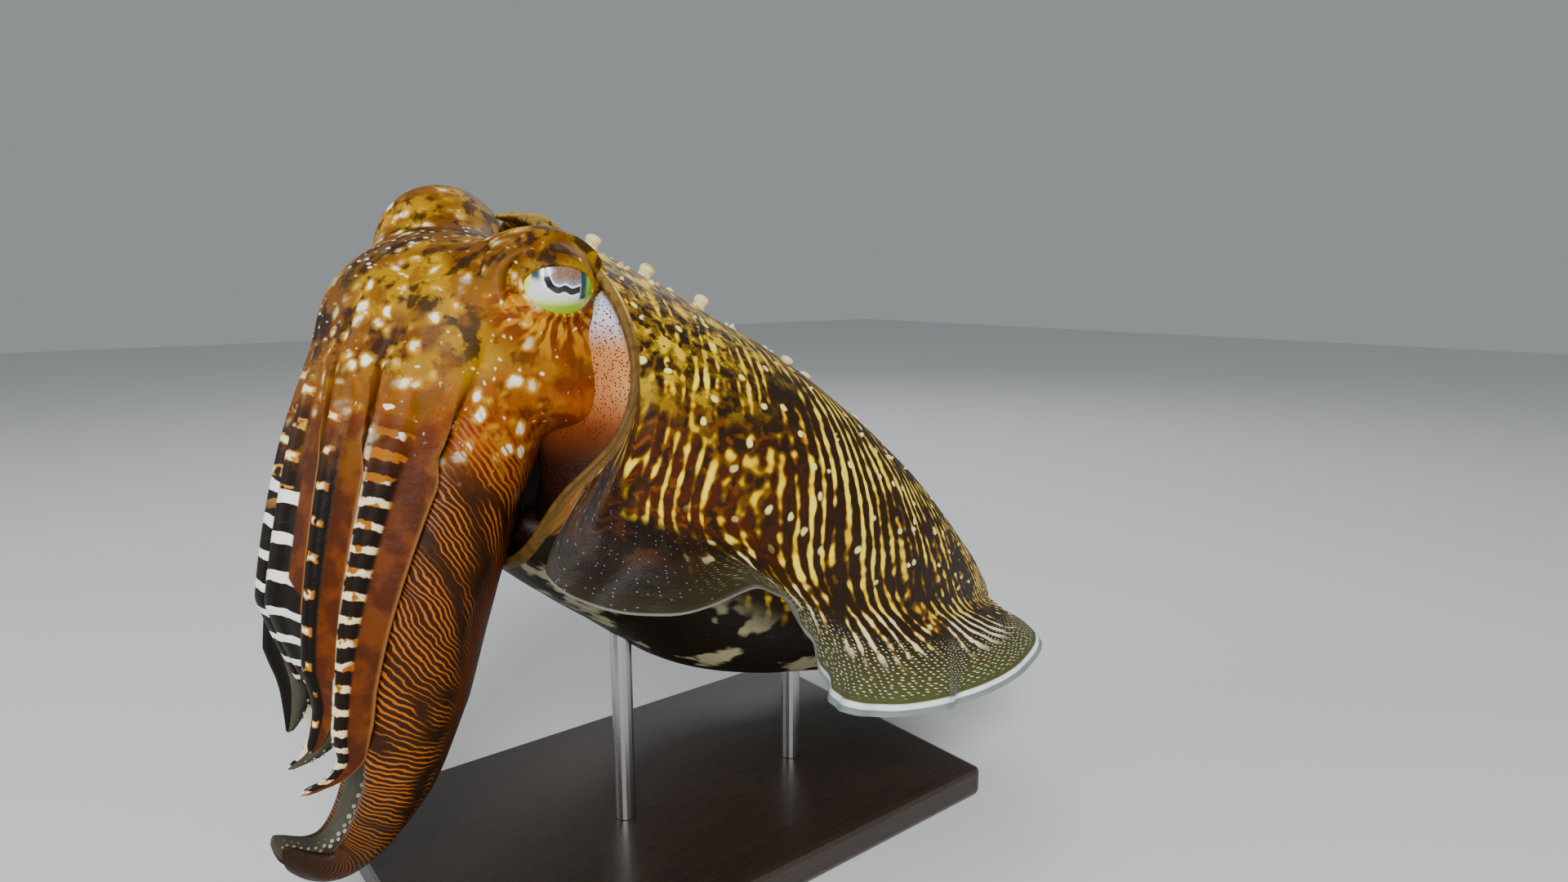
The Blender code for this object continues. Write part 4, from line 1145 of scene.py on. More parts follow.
# %% [markdown]
# Every finish starts from one shader. Its refraction is that of wet tissue, a little above
# water's, and light that enters comes out redder, because red travels furthest under skin. A
# fine, low relief breaks up the gloss, as the pigment sacs and creases of real skin do.


# %% Shader and relief
def finish(name, rough, coat=0.0, coat_rough=0.22, under=0.0, gloss=0.5, ior=1.38):
    """A material with its node tree and its Principled shader."""
    material = bpy.data.materials.new(name)
    material.use_nodes = True
    tree = material.node_tree
    shader = tree.nodes["Principled BSDF"]
    for socket, value in {"Roughness": rough, "Coat Weight": coat, "Coat Roughness": coat_rough,
                          "Specular IOR Level": gloss, "IOR": ior, "Subsurface Weight": under,
                          "Subsurface Radius": (0.8, 0.35, 0.2), "Subsurface Scale": 0.003}.items():
        shader.inputs[socket].default_value = value
    return material, tree, shader


def wrinkle(tree, shader, place, coarse, fine, height):
    """Bump of two sizes in mm; the finer one carries the grain of the pigment sacs."""
    soft = node(tree, "TexNoise", {"Scale": 1 / coarse, "Detail": 3.0}, {"Vector": place})
    grain = node(tree, "TexNoise", {"Scale": 1 / fine, "Detail": 1.0}, {"Vector": place})
    both = node(tree, "Math", {"operation": "MULTIPLY_ADD", 1: 0.25}, {0: grain, 2: soft})
    bump = node(tree, "Bump", {"Strength": 1.0, "Distance": height}, {"Height": both})
    tree.links.new(bump.outputs[0], shader.inputs["Normal"])


def put_on(material, *pieces):
    """Give the pieces a material."""
    for piece in pieces:
        piece.data.materials.append(material)
    print(material.name, "has", len(material.node_tree.nodes), "nodes")


# %% [markdown]
# The mantle is dark brown under wavy golden lines that run from the back to the belly, about 6 mm
# apart, forking and breaking up like ripple marks. Gabor noise gives just such lines. Towards the
# head they dissolve into golden blotches, on the back into short dashes, and on the fin into rows
# of white dots. The belly is dark with cream patches. The fin has a white line near its edge.
#
# First come the places that all of this is laid out by: the way along the body and round it from
# the back line, the way out on a fin and its face, and the distance behind the front edge.

# %% Places on the mantle and the fins
LINE_CELL, LINES_PER_CELL = 24.0, 4.1


def mantle_places(tree):
    """Places in mm, the shares of a fin, and the sloping place that lines and rows follow."""
    place = map_mm(tree, "skin")
    parts = node(tree, "SeparateXYZ", {}, {0: place})
    around = node(tree, "Math", {"operation": "ABSOLUTE"}, {0: parts.outputs["Y"]})
    # Towards the tail the lines sweep rearwards as they go down.
    lean = node(tree, "MapRange", {"From Min": 110.0, "From Max": 350.0, "To Min": 0.30, "To Max": 1.05},
                {"Value": parts.outputs["X"]})
    slant = node(tree, "Math", {"operation": "MULTIPLY"}, {0: lean, 1: around})
    bent = node(tree, "Math", {"operation": "SUBTRACT"}, {0: parts.outputs["X"], 1: slant})
    fin, front = map_values(tree, "fin"), map_values(tree, "front")
    return SimpleNamespace(place=place, along=parts.outputs["X"], sideways=parts.outputs["Y"],
                           around=around, bent=bent, out=fin["X"], under=fin["Y"],
                           behind=front["X"], inside=front["Y"])


def mantle_lines(tree, at):
    """Ripple lines: high on a line, broken where two clouds of noise are low."""
    squeezed = node(tree, "Math", {"operation": "MULTIPLY", 1: 0.34}, {0: at.sideways})
    flow = wander(tree, node(tree, "CombineXYZ", {}, {"X": at.bent, "Y": squeezed}), 26.0, 5.0)
    stripes = node(tree, "TexGabor", {"Scale": 1 / LINE_CELL, "Frequency": LINES_PER_CELL,
                                      "Anisotropy": 0.93, "Orientation": 0.0},
                   {"Vector": wander(tree, flow, 5.0, 1.3)})
    cloud = node(tree, "TexNoise", {"Scale": 1 / 22.0, "Detail": 2.0}, {"Vector": at.place})
    uneven = node(tree, "Math", {"operation": "MULTIPLY_ADD", 1: 0.5, 2: -0.25}, {0: cloud})
    gaps = node(tree, "TexNoise", {"Scale": 1 / 7.0, "Detail": 1.0}, {"Vector": at.place})
    uneven = node(tree, "Math", {"operation": "MULTIPLY_ADD", 1: 0.55}, {0: gaps, 2: uneven})
    lines = node(tree, "Math", {"operation": "ADD"}, {0: stripes, 1: uneven})
    return node(tree, "Math", {"operation": "SUBTRACT", 1: 0.275}, {0: lines})


print("golden lines are", round(LINE_CELL / LINES_PER_CELL, 1), "mm apart")

# %% [markdown]
# Then the marks between the lines, each from one noise or one field of cells: a cell that is near
# its centre is a spot, and the cell's own random colour picks which of them show.

# %% Marks on the mantle and the fins
SPOT_CELL, DOT_CELL = 11.0, 1.45


def mantle_marks(tree, at):
    """Clouds, blotches, dashes, spots and rows of dots, by name."""
    place, flat = at.place, {"voronoi_dimensions": "2D"}
    streaked = node(tree, "Mapping", {"Scale": (0.28, 1.0, 1.0)}, {"Vector": place})
    slanted = node(tree, "CombineXYZ", {}, {"X": at.bent, "Y": at.sideways})
    slanted = node(tree, "Mapping", {"Scale": (0.62, 1.0, 1.0)}, {"Vector": slanted})
    made = fields(tree, {
        "blotch": ("TexNoise", 9.0, wander(tree, place, 14.0, 4.0), {"Detail": 3.0, "Roughness": 0.55}),
        "mottle": ("TexNoise", 5.0, place, {"Detail": 2.0}),
        "patch": ("TexNoise", 30.0, place, {"Detail": 3.0, "Roughness": 0.6}),
        "dashes": ("TexNoise", 2.6, streaked, {"Detail": 2.0}),
        "spots": ("TexVoronoi", SPOT_CELL, wander(tree, place, 9.0, 2.0), flat),
        "dots": ("TexVoronoi", DOT_CELL, slanted, {**flat, "Randomness": 0.4}),
        "speckle": ("TexVoronoi", 1.1, place, {}),
    })
    lot, pick = [node(tree, "SeparateXYZ", {}, {0: made[name].outputs["Color"]}).outputs["X"]
                 for name in ("spots", "dots")]
    reach = node(tree, "Math", {"operation": "MULTIPLY_ADD", 1: 0.55}, {0: at.around, 2: at.along})
    return SimpleNamespace(**made, lines=mantle_lines(tree, at), reach=reach, lot=lot, pick=pick)


print("yellow spots are about", SPOT_CELL, "mm apart, white dots", DOT_CELL, "mm")

# %% [markdown]
# The pigments of the body: dark ground, brown clouds, the golden lines with their brown halo, the
# blotches near the head, the pale dashes of the back and the scattered yellow spots.


# %% Pigments of the body
def body_pigments(tree, at, see):
    along, around, out = at.along, at.around, at.out
    return pigments(tree, "#1b1108", [
        ("#33200d", (see.patch,)),
        ("#4a1e06", (around, 90, 130), (along, 185, 110), (see.blotch, 0.38, 0.54, 0.9), (out, 0.2, 0.0)),
        ("#7c420a", (see.mottle, 0.54, 0.66, 0.8), (around, 70, 105), (along, 150, 90), (out, 0.3, 0.0)),
        ("#5a4a20", (around, 56, 18), (see.patch, 0.3, 0.6, 0.8)),
        ("#6e4a06", (see.lines, 0.51, 0.60), (around, 22, 50)),
        ("#e4b000", (see.lines, 0.58, 0.65), (around, 30, 60), (out, 0.55, 0.3)),
        ("#ffec4a", (see.lines, 0.64, 0.72), (around, 36, 70), (out, 0.5, 0.25), (along, 440, 230)),
        ("#8c6c08", (see.reach, 175, 95, 0.9), (see.blotch, 0.42, 0.56), (around, 128, 100)),
        ("#e6bc20", (see.reach, 175, 90), (see.blotch, 0.53, 0.63), (around, 128, 95)),
        ("#241404", (see.reach, 190, 110, 0.95), (see.mottle, 0.56, 0.63), (around, 125, 95)),
        ("#b8a066", (see.dashes, 0.56, 0.68, 0.85), (around, 66, 26)),
        ("#fff08a", (see.spots, 0.19, 0.10), (see.lot, 0.74, 0.78), (out, 0.1, 0.0),
         (around, 150, 120)),
    ])


# %% [markdown]
# The fins carry on the lines, then rows of white dots, and end in a grey margin with one white
# line. Their undersides are pale. The belly is dark with cream patches, and the front edge of the
# mantle has a pale band and a pink inner face.


# %% Pigments of the fins, the belly and the front edge
def fin_pigments(tree, at, see, shown):
    along, out = at.along, at.out
    ground = pigments(tree, "#3f3010", [("#50532c", (out,))])
    return pigments(tree, shown, [
        (ground, (out, 0.25, 0.75)),
        ("#1c1208", (out, 0.02, 0.2), (along, 150, 90)),
        ("#2e2616", (out, 0.7, 1.0, 0.8), (along, 150, 90)),
        ("#4f2a0c", (see.blotch, 0.45, 0.6, 0.6), (out, 0.02, 0.15), (out, 0.7, 0.4), (along, 120, 80)),
        ("#fff6c0", (see.lines, 0.61, 0.68), (out, 0.05, 0.20), (out, 0.62, 0.42), (along, 95, 130)),
        ("#eef2e2", (see.dots, 0.21, 0.11), (out, 0.30, 0.50), (out, 0.87, 0.80), (along, 100, 150)),
        ("#8c93b4", (see.dots, 0.12, 0.05), (see.pick, 0.70, 0.74), (out, 0.0, 0.2),
         (along, 140, 95)),
        ("#a1682e", (at.under, 0.4, 0.6), (out, 0.75, 0.15), (see.patch, 0.40, 0.58)),
        ("#989484", (at.under, 0.4, 0.6), (out, 0.15, 0.7, 0.75)),
        ("#7f8b88", (out, 0.92, 0.97), (along, 100, 150)),
        ("#6c6e66", (out, 0.97, 0.985), (along, 150, 100)),
        ("#f4f9fc", (out, 0.885, 0.905), (out, 0.955, 0.935), (along, 115, 215)),
    ])


def edge_pigments(tree, at, see, shown):
    around, behind, outside, inside = at.around, at.behind, (at.inside, 0.9, 0.1), (at.inside, 0.5, 0.9)
    return pigments(tree, shown, [
        ("#1d150c", (around, 150, 172), (at.out, 0.02, 0.0)),
        ("#a8a07c", (around, 158, 180), (at.out, 0.02, 0.0), (see.patch, 0.55, 0.62)),
        ("#866a30", (behind, 2.8, 1.8), outside),
        ("#5c3f1a", (behind, 2.8, 1.8), outside, (around, 62, 95, 0.8)),
        ("#dcc27c", (behind, 0.6, 1.1), (behind, 2.2, 1.6), outside, (around, 100, 60)),
        ("#4f3a14", (see.mottle, 0.48, 0.62, 0.75), (behind, 3.4, 1.8), outside),
        ("#a25c34", inside, (around, 14, 34)),
        ("#4a2018", inside, (see.speckle, 0.30, 0.18), (around, 14, 34)),
    ])


def mantle_skin():
    # Wet living skin: matt pigment under a thin film of water, so a broad, weak gloss.
    material, tree, shader = finish("wet mantle skin", rough=0.48, under=0.05, gloss=0.22)
    at = mantle_places(tree)
    see = mantle_marks(tree, at)
    shown = body_pigments(tree, at, see)
    shown = edge_pigments(tree, at, see, fin_pigments(tree, at, see, shown))
    tree.links.new(shown.outputs[2], shader.inputs["Base Color"])
    wrinkle(tree, shader, at.place, coarse=5.0, fine=0.9, height=0.0005)
    return material


put_on(mantle_skin(), mantle)

# %% [markdown]
# Head and arms share one skin. The head is golden brown with soft white spots, more orange on the
# cheek, and dark on top, with golden rays below the eye. Down the arms the pattern turns to bars:
# each arm has its own, on the ridge only, while the band beside it is plain orange brown. So the
# pattern reads two kinds of place: the point in space for the head, and the place on the arm,
# which is how far down the arm it is and how far across.


# %% Places on the head and the arms
def head_places(tree):
    """Place in mm, the way down an arm and across it, its number, and which pair it is of."""
    place = object_mm(tree)
    xyz = node(tree, "SeparateXYZ", {}, {0: place})
    arm, mark = map_values(tree, "arm"), map_values(tree, "mark")
    along = node(tree, "Math", {"operation": "MULTIPLY", 1: 1000.0}, {0: arm["X"]})
    # Arms 1 to 4 are the left side's and 5 to 8 the right side's.
    over = node(tree, "Math", {"operation": "GREATER_THAN", 1: 4.5}, {0: mark["X"]})
    pair = node(tree, "Math", {"operation": "MULTIPLY_ADD", 1: -4.0}, {0: over, 2: mark["X"]})
    is_pair = {k: node(tree, "Math", {"operation": "COMPARE", 1: float(k), 2: 0.4}, {0: pair})
               for k in (1, 2, 3, 4)}
    return SimpleNamespace(place=place, x=xyz.outputs["X"], height=xyz.outputs["Z"], along=along,
                           across=arm["Y"], number=mark["X"], inner=mark["Y"], is_pair=is_pair)


def distance_beside(tree, place):
    """Distance of a place from the head's plane of symmetry, in mm."""
    middle = tuple((EYES[1] + EYES[-1]) * 500)
    offset = node(tree, "VectorMath", {"operation": "SUBTRACT", 1: middle}, {0: place})
    beside = node(tree, "VectorMath", {"operation": "DOT_PRODUCT", 1: tuple(head_axes()[1])}, {0: offset})
    return node(tree, "Math", {"operation": "ABSOLUTE"}, {0: beside.outputs["Value"]})


def eye_rays(tree, place, side):
    """Distance from an eye's centre in mm, the height above it, and rays that leave it."""
    _, along, up = eye_plane(side)
    offset = node(tree, "VectorMath", {"operation": "SUBTRACT", 1: tuple(EYES[side] * 1000)}, {0: place})
    x, y = [node(tree, "VectorMath", {"operation": "DOT_PRODUCT", 1: tuple(direction)},
                 {0: offset}).outputs["Value"] for direction in (along, up)]
    distance = node(tree, "VectorMath", {"operation": "LENGTH"}, {0: offset}).outputs["Value"]
    angle = node(tree, "Math", {"operation": "ARCTAN2"}, {0: y, 1: x})
    ring = node(tree, "CombineXYZ", {}, {"X": angle, "Y": node(tree, "Math", {
        "operation": "MULTIPLY", 1: 0.016}, {0: distance})})
    return distance, y, node(tree, "TexNoise", {"Scale": 6.0, "Detail": 1.0}, {"Vector": ring})


print("rays leave the eyes at", [[round(v * 1000) for v in EYES[side]] for side in (1, -1)], "mm")

# %% [markdown]
# The head's own pigments. The white spots are cells of two sizes at wandering places, so that
# they are soft and uneven, and they stand in clusters.


# %% Marks and pigments of the head
def head_marks(tree, at):
    """Clouds, clusters, spots of two sizes and the dashes of the crown, by name."""
    place = at.place
    loose = wander(tree, wander(tree, place, 9.0, 3.0), 2.5, 0.9)
    streaked = node(tree, "Mapping", {"Scale": (0.6, 0.35, 1.0)}, {"Vector": place})
    return SimpleNamespace(**fields(tree, {
        "haze": ("TexNoise", 30.0, place, {"Detail": 2.0}),
        "mottle": ("TexNoise", 9.0, wander(tree, place, 16.0, 5.0), {"Detail": 3.0, "Roughness": 0.6}),
        "cluster": ("TexNoise", 16.0, place, {"Detail": 1.0}),
        "soft": ("TexNoise", 12.0, place, {"Detail": 3.0}),
        "grain": ("TexNoise", 0.9, place, {"Detail": 1.0}),
        "spots": ("TexVoronoi", 7.0, loose, {}),
        "small": ("TexVoronoi", 4.0, loose, {}),
        "dashes": ("TexVoronoi", 2.4, streaked, {}),
    }))


def head_pigments(tree, at, see):
    height, beside = at.height, distance_beside(tree, at.place)
    shown = pigments(tree, "#744600", [
        ("#5a2e00", (see.haze,)),
        ("#742a00", (height, 262, 222, 0.95)),
        # Golden skin of the upper head, and partly a painted glow of the light that brightens it towards
        # the top.
        ("#a87c00", (see.haze, 0.40, 0.54, 0.9), (height, 215, 250)),
        ("#9c5002", (see.soft, 0.40, 0.55, 0.8), (height, 250, 230)),
        ("#4c1a00", (see.soft, 0.54, 0.66, 0.8), (height, 250, 230)),
        ("#2a1604", (see.mottle, 0.48, 0.59, 0.9), (height, 225, 250)),
    ])
    for side in (1, -1):
        away, above, rays = eye_rays(tree, at.place, side)
        shown = pigments(tree, shown, [
            ("#7c3802", (away, 36, 22), (above, 0, -6)),
            ("#c88a10", (rays, 0.46, 0.60), (away, 36, 18), (above, 0, -8)),
        ])
    return pigments(tree, shown, [
        ("#dfa61a", (see.spots, 0.62, 0.24, 0.85), (see.cluster, 0.45, 0.53), (at.x, -70, -92)),
        ("#fffae6", (see.spots, 0.40, 0.22), (see.cluster, 0.48, 0.55), (at.x, -78, -94)),
        ("#ffeeb4", (see.small, 0.24, 0.12), (see.mottle, 0.50, 0.40)),
        ("#1f120a", (beside, 13, 5, 0.9), (height, 225, 250)),
        ("#f3e9d6", (see.dashes, 0.28, 0.18), (beside, 15, 8), (height, 225, 250)),
    ])


# %% [markdown]
# The arms' marks are measured down the arm. Evenly spaced bars come from a value that runs up and
# down as it goes along, and noise moves them a little, so that no two are alike. Pair 1 has broad
# white bars, pairs 1 to 3 have small hooks and loops, and pair 4 has thin sloping lines.

# %% Marks of the arms
BAR_TURN, HOOK_TURN, LOOP_TURN = 10.2, 6.4, 4.2


def arm_lane(tree, at):
    """Place on an arm in mm, shifted for each arm, so that noise differs from arm to arm."""
    shifted = node(tree, "Math", {"operation": "MULTIPLY_ADD", 1: 4.7}, {0: at.number, 2: at.along})
    wide = node(tree, "Math", {"operation": "MULTIPLY_ADD", 1: 11.0, 2: 9.0}, {0: at.is_pair[4]})
    return node(tree, "CombineXYZ", {}, {
        "X": shifted, "Y": node(tree, "Math", {"operation": "MULTIPLY"}, {0: at.across, 1: wide}),
        "Z": node(tree, "Math", {"operation": "MULTIPLY", 1: 40.0}, {0: at.number})})


def arm_bars(tree, at, drifting):
    """Broad bars, closer together towards the tips and bowed across the arm."""
    run = node(tree, "SeparateXYZ", {}, {0: drifting}).outputs["X"]
    pace = node(tree, "Math", {"operation": "MULTIPLY_ADD", 1: 0.006, 2: 0.5}, {0: run})
    paced = node(tree, "Math", {"operation": "MULTIPLY"}, {0: run, 1: pace})
    bow = node(tree, "Math", {"operation": "MULTIPLY"}, {0: at.across, 1: at.across})
    bowed = node(tree, "Math", {"operation": "MULTIPLY_ADD", 1: -3.0}, {0: bow, 2: paced})
    return node(tree, "Math", {"operation": "PINGPONG", 1: BAR_TURN}, {0: bowed})


def arm_threads(tree, at, lane):
    """Thin lines on pair 4: sloping near the head, straight across and closer towards the tip."""
    x, y, z = node(tree, "SeparateXYZ", {}, {0: wander(tree, lane, 7.0, 1.6)}).outputs
    slope = node(tree, "MapRange", {"From Min": 80.0, "From Max": 150.0, "To Min": -1.4, "To Max": -0.2},
                 {"Value": at.along})
    slanted = node(tree, "Math", {"operation": "MULTIPLY_ADD"}, {0: y, 1: slope, 2: x})
    denser = node(tree, "Math", {"operation": "MULTIPLY_ADD", 1: 0.00135, 2: 0.64}, {0: slanted})
    slanted = node(tree, "CombineXYZ", {}, {
        "X": node(tree, "Math", {"operation": "MULTIPLY"}, {0: slanted, 1: denser}),
        "Y": node(tree, "Math", {"operation": "MULTIPLY", 1: 0.5}, {0: y}), "Z": z})
    return node(tree, "TexGabor", {"Scale": 1 / 13.0, "Frequency": 6.0, "Anisotropy": 0.95,
                                   "Orientation": 0.0}, {"Vector": slanted})


def arm_marks(tree, at):
    """Bars, hooks, loops and threads, and where they break off, by name."""
    lane = arm_lane(tree, at)
    drifting = wander(tree, lane, 9.0, 1.6)
    ragged = node(tree, "SeparateXYZ", {}, {0: wander(tree, drifting, 2.6, 1.1)}).outputs["X"]
    # Towards the tips the bars reach right across the arm.
    wider = node(tree, "MapRange", {"From Min": 84.0, "From Max": 104.0, "To Max": -2.0},
                 {"Value": at.along})
    return SimpleNamespace(
        bars=arm_bars(tree, at, drifting), threads=arm_threads(tree, at, lane),
        hooks=node(tree, "Math", {"operation": "PINGPONG", 1: HOOK_TURN}, {0: ragged}),
        loops=node(tree, "Math", {"operation": "PINGPONG", 1: LOOP_TURN}, {0: ragged}),
        broken=node(tree, "TexNoise", {"Scale": 1 / 6.0, "Detail": 2.0}, {"Vector": lane}),
        inward=node(tree, "Math", {"operation": "ADD"}, {0: at.across, 1: wider}))


print("hooks", 2 * HOOK_TURN, "mm apart, loops", 2 * LOOP_TURN, "mm")

# %% [markdown]
# Dark grounds come first, then each pair's own marks, golden under white, so that every white
# mark has a golden halo. Across an arm the value runs from -1 at its front border to 1 at its rear
# border, and further on the inner face, so each mark can be kept to the ridge or to the edge.


# %% Pigments of the arms
def arm_pigments(tree, at, see, shown):
    along, across, soft, on = at.along, at.across, see.soft, arm_marks(tree, at)
    bars, hooks, loops, broken, inward = on.bars, on.hooks, on.loops, on.broken, on.inward
    first, second, third, fourth = [(at.is_pair[k], 0, 1) for k in (1, 2, 3, 4)]
    not_fourth = (at.is_pair[4], 1, 0)
    shown = pigments(tree, shown, [
        ("#4a1e02", (along, 0, 40), not_fourth),
        ("#693104", (soft, 0.42, 0.60, 0.9), (along, 10, 40), not_fourth),
        ("#7a4a08", (soft, 0.50, 0.62, 0.8), (along, 60, 20), not_fourth),
        ("#100a04", (along, 26, 56), (inward, 0.62, 0.40), first),
        ("#100a04", (along, 20, 50), (across, 0.36, 0.16), second),
        ("#1a0f06", (along, 16, 50), (across, 0.36, 0.16), third),
        ("#5a2a08", (along, 10, 50), fourth),
        ("#331806", (along, 10, 44), (across, 0.55, 0.10), fourth),
        ("#2a190a", (along, 110, 170), fourth),
        ("#ae5e10", (on.threads, 0.53, 0.61), (along, -4, 20), (across, 0.50, 0.12), fourth,
         (along, 215, 150)),
        ("#120b05", (along, 8, 26), (across, 0.34, 0.14), (see.mottle, 0.40, 0.50, 0.8), first),
        ("#c98a2c", (hooks, 4.1, 4.7), (broken, 0.40, 0.47), (along, 0, 16), (along, 66, 50),
         (across, 0.24, 0.12), first),
        ("#fbf0cc", (hooks, 4.9, 5.4), (broken, 0.47, 0.52), (along, 0, 16), (along, 60, 44),
         (across, 0.16, 0.04), first),
        ("#fbf6ea", (bars, 6.9, 7.4), (along, 41, 43), (inward, 0.56, 0.44), first),
    ])
    return pigments(tree, shown, [
        ("#b06a12", (hooks, 4.6, 5.0), (along, 0, 20), (across, 0.10, -0.02), (across, -0.74, -0.58),
         (broken, 0.42, 0.50), second),
        ("#f5ecc4", (hooks, 5.1, 5.6), (broken, 0.46, 0.54), (along, 4, 24), (across, -0.06, -0.18),
         (across, -0.66, -0.50), second),
        ("#a05c06", (loops, 2.4, 2.9), (broken, 0.42, 0.48), (across, 0.34, 0.22), (along, 8, 30), third),
        ("#f4e6b4", (loops, 2.6, 3.1), (broken, 0.61, 0.53), (across, 0.26, 0.12), (along, 42, 50), third),
        ("#f7edc8", (loops, 2.2, 2.8), (broken, 0.47, 0.43), (across, 0.12, -0.05), (along, 8, 12),
         (along, 58, 52), third),
        ("#efe3c0", (across, -0.60, -0.78), (broken, 0.42, 0.50), (along, 16, 40), third),
        # Painted highlight: a thin lighter line along the thin rear edge of arms 1 to 3, where the edge
        # catches the light.
        ("#8a5a2a", (across, 0.985, 0.997), (across, 1.5, 1.2), (along, 14, 34), not_fourth),
        # Painted shade: the oral faces and the mouth, which turn inwards away from the light, are dark
        # grey brown.
        ("#4a463a", (at.inner, 0.3, 0.7)),
    ])


def head_skin():
    # Wet living skin as on the mantle, matt pigment under thin water, with finer, lower wrinkles.
    material, tree, shader = finish("wet head skin", rough=0.5, under=0.05, gloss=0.22)
    at = head_places(tree)
    see = head_marks(tree, at)
    shown = arm_pigments(tree, at, see, head_pigments(tree, at, see))
    shown = pigments(tree, shown, [("#2b1506", (see.grain, 0.62, 0.80, 0.35))])
    tree.links.new(shown.outputs[2], shader.inputs["Base Color"])
    wrinkle(tree, shader, at.place, coarse=4.0, fine=0.8, height=0.0004)
    return material


put_on(head_skin(), glove)

# %% [markdown]
# The eye of a cuttlefish has no round pupil but a dark slit shaped like a wide W. The iris is
# white below it and grey above it, with green and blue at the rim, all under a clear cornea. The
# slit is drawn as a band round a smooth curve across the eye.

# %% Eyes
# Height of the slit's middle line by the place along it, in mm from the eye's axis.
SLIT = [(-9, 1.4), (-5.7, 1.2), (-2.3, 0.2), (0.5, 1.0), (2.9, 0.1), (4.5, 0.4), (6.4, 2.4), (7.8, 5.2),
        (9, 6.8)]


def slit_level(tree, x):
    """The slit's height at each place, by a curve drawn in a box 18 mm wide and 16 mm high."""
    line = node(tree, "FloatCurve", {}, {
        "Value": node(tree, "MapRange", {"From Min": -9.0, "From Max": 9.0}, {"Value": x})})
    shape = line.mapping.curves[0]
    spots = [((along + 9) / 18, (high + 8) / 16) for along, high in SLIT]
    shape.points[0].location, shape.points[1].location = spots[0], spots[-1]
    for spot in spots[1:-1]:
        shape.points.new(*spot)
    line.mapping.update()
    return node(tree, "MapRange", {"To Min": -8.0, "To Max": 8.0}, {"Value": line})


def eye_finish():
    # Cornea: clear, smooth and always wet, so the coat gives a small sharp highlight.
    material, tree, shader = finish("eye under a wet cornea", rough=0.3, coat=1.0, coat_rough=0.03)
    place = map_mm(tree, "eye")
    parts = node(tree, "SeparateXYZ", {}, {0: place})
    x, y = parts.outputs["X"], parts.outputs["Y"]
    above = node(tree, "Math", {"operation": "SUBTRACT"}, {0: y, 1: slit_level(tree, x)})
    away = node(tree, "Math", {"operation": "ABSOLUTE"}, {0: above})
    # Where the slit rises steeply, its height overstates how far a point is from it.
    steep = node(tree, "MapRange", {"From Min": 4.8, "From Max": 7.0, "To Min": 1.0, "To Max": 0.42},
                 {"Value": x})
    thin = node(tree, "Math", {"operation": "MULTIPLY"}, {0: away, 1: steep})
    sunk = node(tree, "Math", {"operation": "MULTIPLY_ADD", 1: -0.14}, {0: x, 2: node(
        tree, "Math", {"operation": "MULTIPLY", 1: -1.0}, {0: y})})
    cloud = node(tree, "TexNoise", {"Scale": 1 / 2.0, "Detail": 3.0}, {"Vector": place})
    speckle = node(tree, "TexNoise", {"Scale": 1 / 0.5, "Detail": 1.0}, {"Vector": place})
    shown = pigments(tree, "#e9eeee", [
        ("#cfd6d6", (cloud,)),
        ("#8d969c", (above, 0.9, 2.2), (x, 8.6, 7.0)),
        ("#8c6446", (above, 2.6, 5.0), (x, 9.0, 6.0), (cloud, 0.25, 0.5, 0.9)),
        ("#5f3f2a", (above, 2.0, 3.4), (x, 8.0, 5.0), (speckle, 0.48, 0.60, 0.6)),
        ("#33404a", (x, 8.4, 10.4), (y, 1.0, 4.0)),
        ("#ffffff", (thin, 2.3, 1.8), (x, 9.4, 8.6)),
        ("#0e3550", (x, -5.8, -6.8)),
        ("#2f7a2a", (x, -8.2, -9.0)),
        ("#d6e37a", (sunk, 2.8, 4.2)),
        ("#9cc61c", (sunk, 4.4, 6.0)),
        ("#8fc028", (x, -9.0, -9.8)),
        ("#e2e468", (x, 11.6, 12.8)),
        ("#050506", (thin, 1.45, 1.1), (x, -6.6, -5.8), (x, 8.6, 8.0)),
    ])
    tree.links.new(shown.outputs[2], shader.inputs["Base Color"])
    return material


put_on(eye_finish(), *eyeballs)

# %% [markdown]
# Neck and funnel are bare of pattern: pink muscle shows through, with pigment sacs over it.
# Painted shade darkens both towards the bottom, nearly to black deep under the head. The knobs,
# the leaf and the suckers are the same skin again in paler or darker plain tones.


# %% Neck and small outgrowths
def neck_finish():
    # Thin unpigmented skin over muscle: pink, with dark pigment sacs and painted shade low down.
    material, tree, shader = finish("pink neck skin", rough=0.45, under=0.1, gloss=0.3)
    place = object_mm(tree)
    haze = node(tree, "TexNoise", {"Scale": 1 / 18.0, "Detail": 2.0}, {"Vector": place})
    sacs = node(tree, "TexVoronoi", {"Scale": 1 / 1.25}, {"Vector": place})
    height = node(tree, "SeparateXYZ", {}, {0: place}).outputs["Z"]
    shown = pigments(tree, "#d49a5e", [
        ("#b96a34", (haze,)),
        # Painted shade: darker brown, then near black, towards the bottom of the recess under the head.
        ("#7c3a16", (height, 232, 214)),
        ("#241008", (height, 222, 200)),
        ("#d3dcee", (height, 244, 264), (height, 276, 264)),
        ("#a88b50", (height, 262, 272)),
        ("#35200c", (height, 278, 288)),
        ("#43201a", (sacs, 0.36, 0.24)),
    ])
    tree.links.new(shown.outputs[2], shader.inputs["Base Color"])
    wrinkle(tree, shader, place, coarse=4.0, fine=1.0, height=0.0003)
    return material


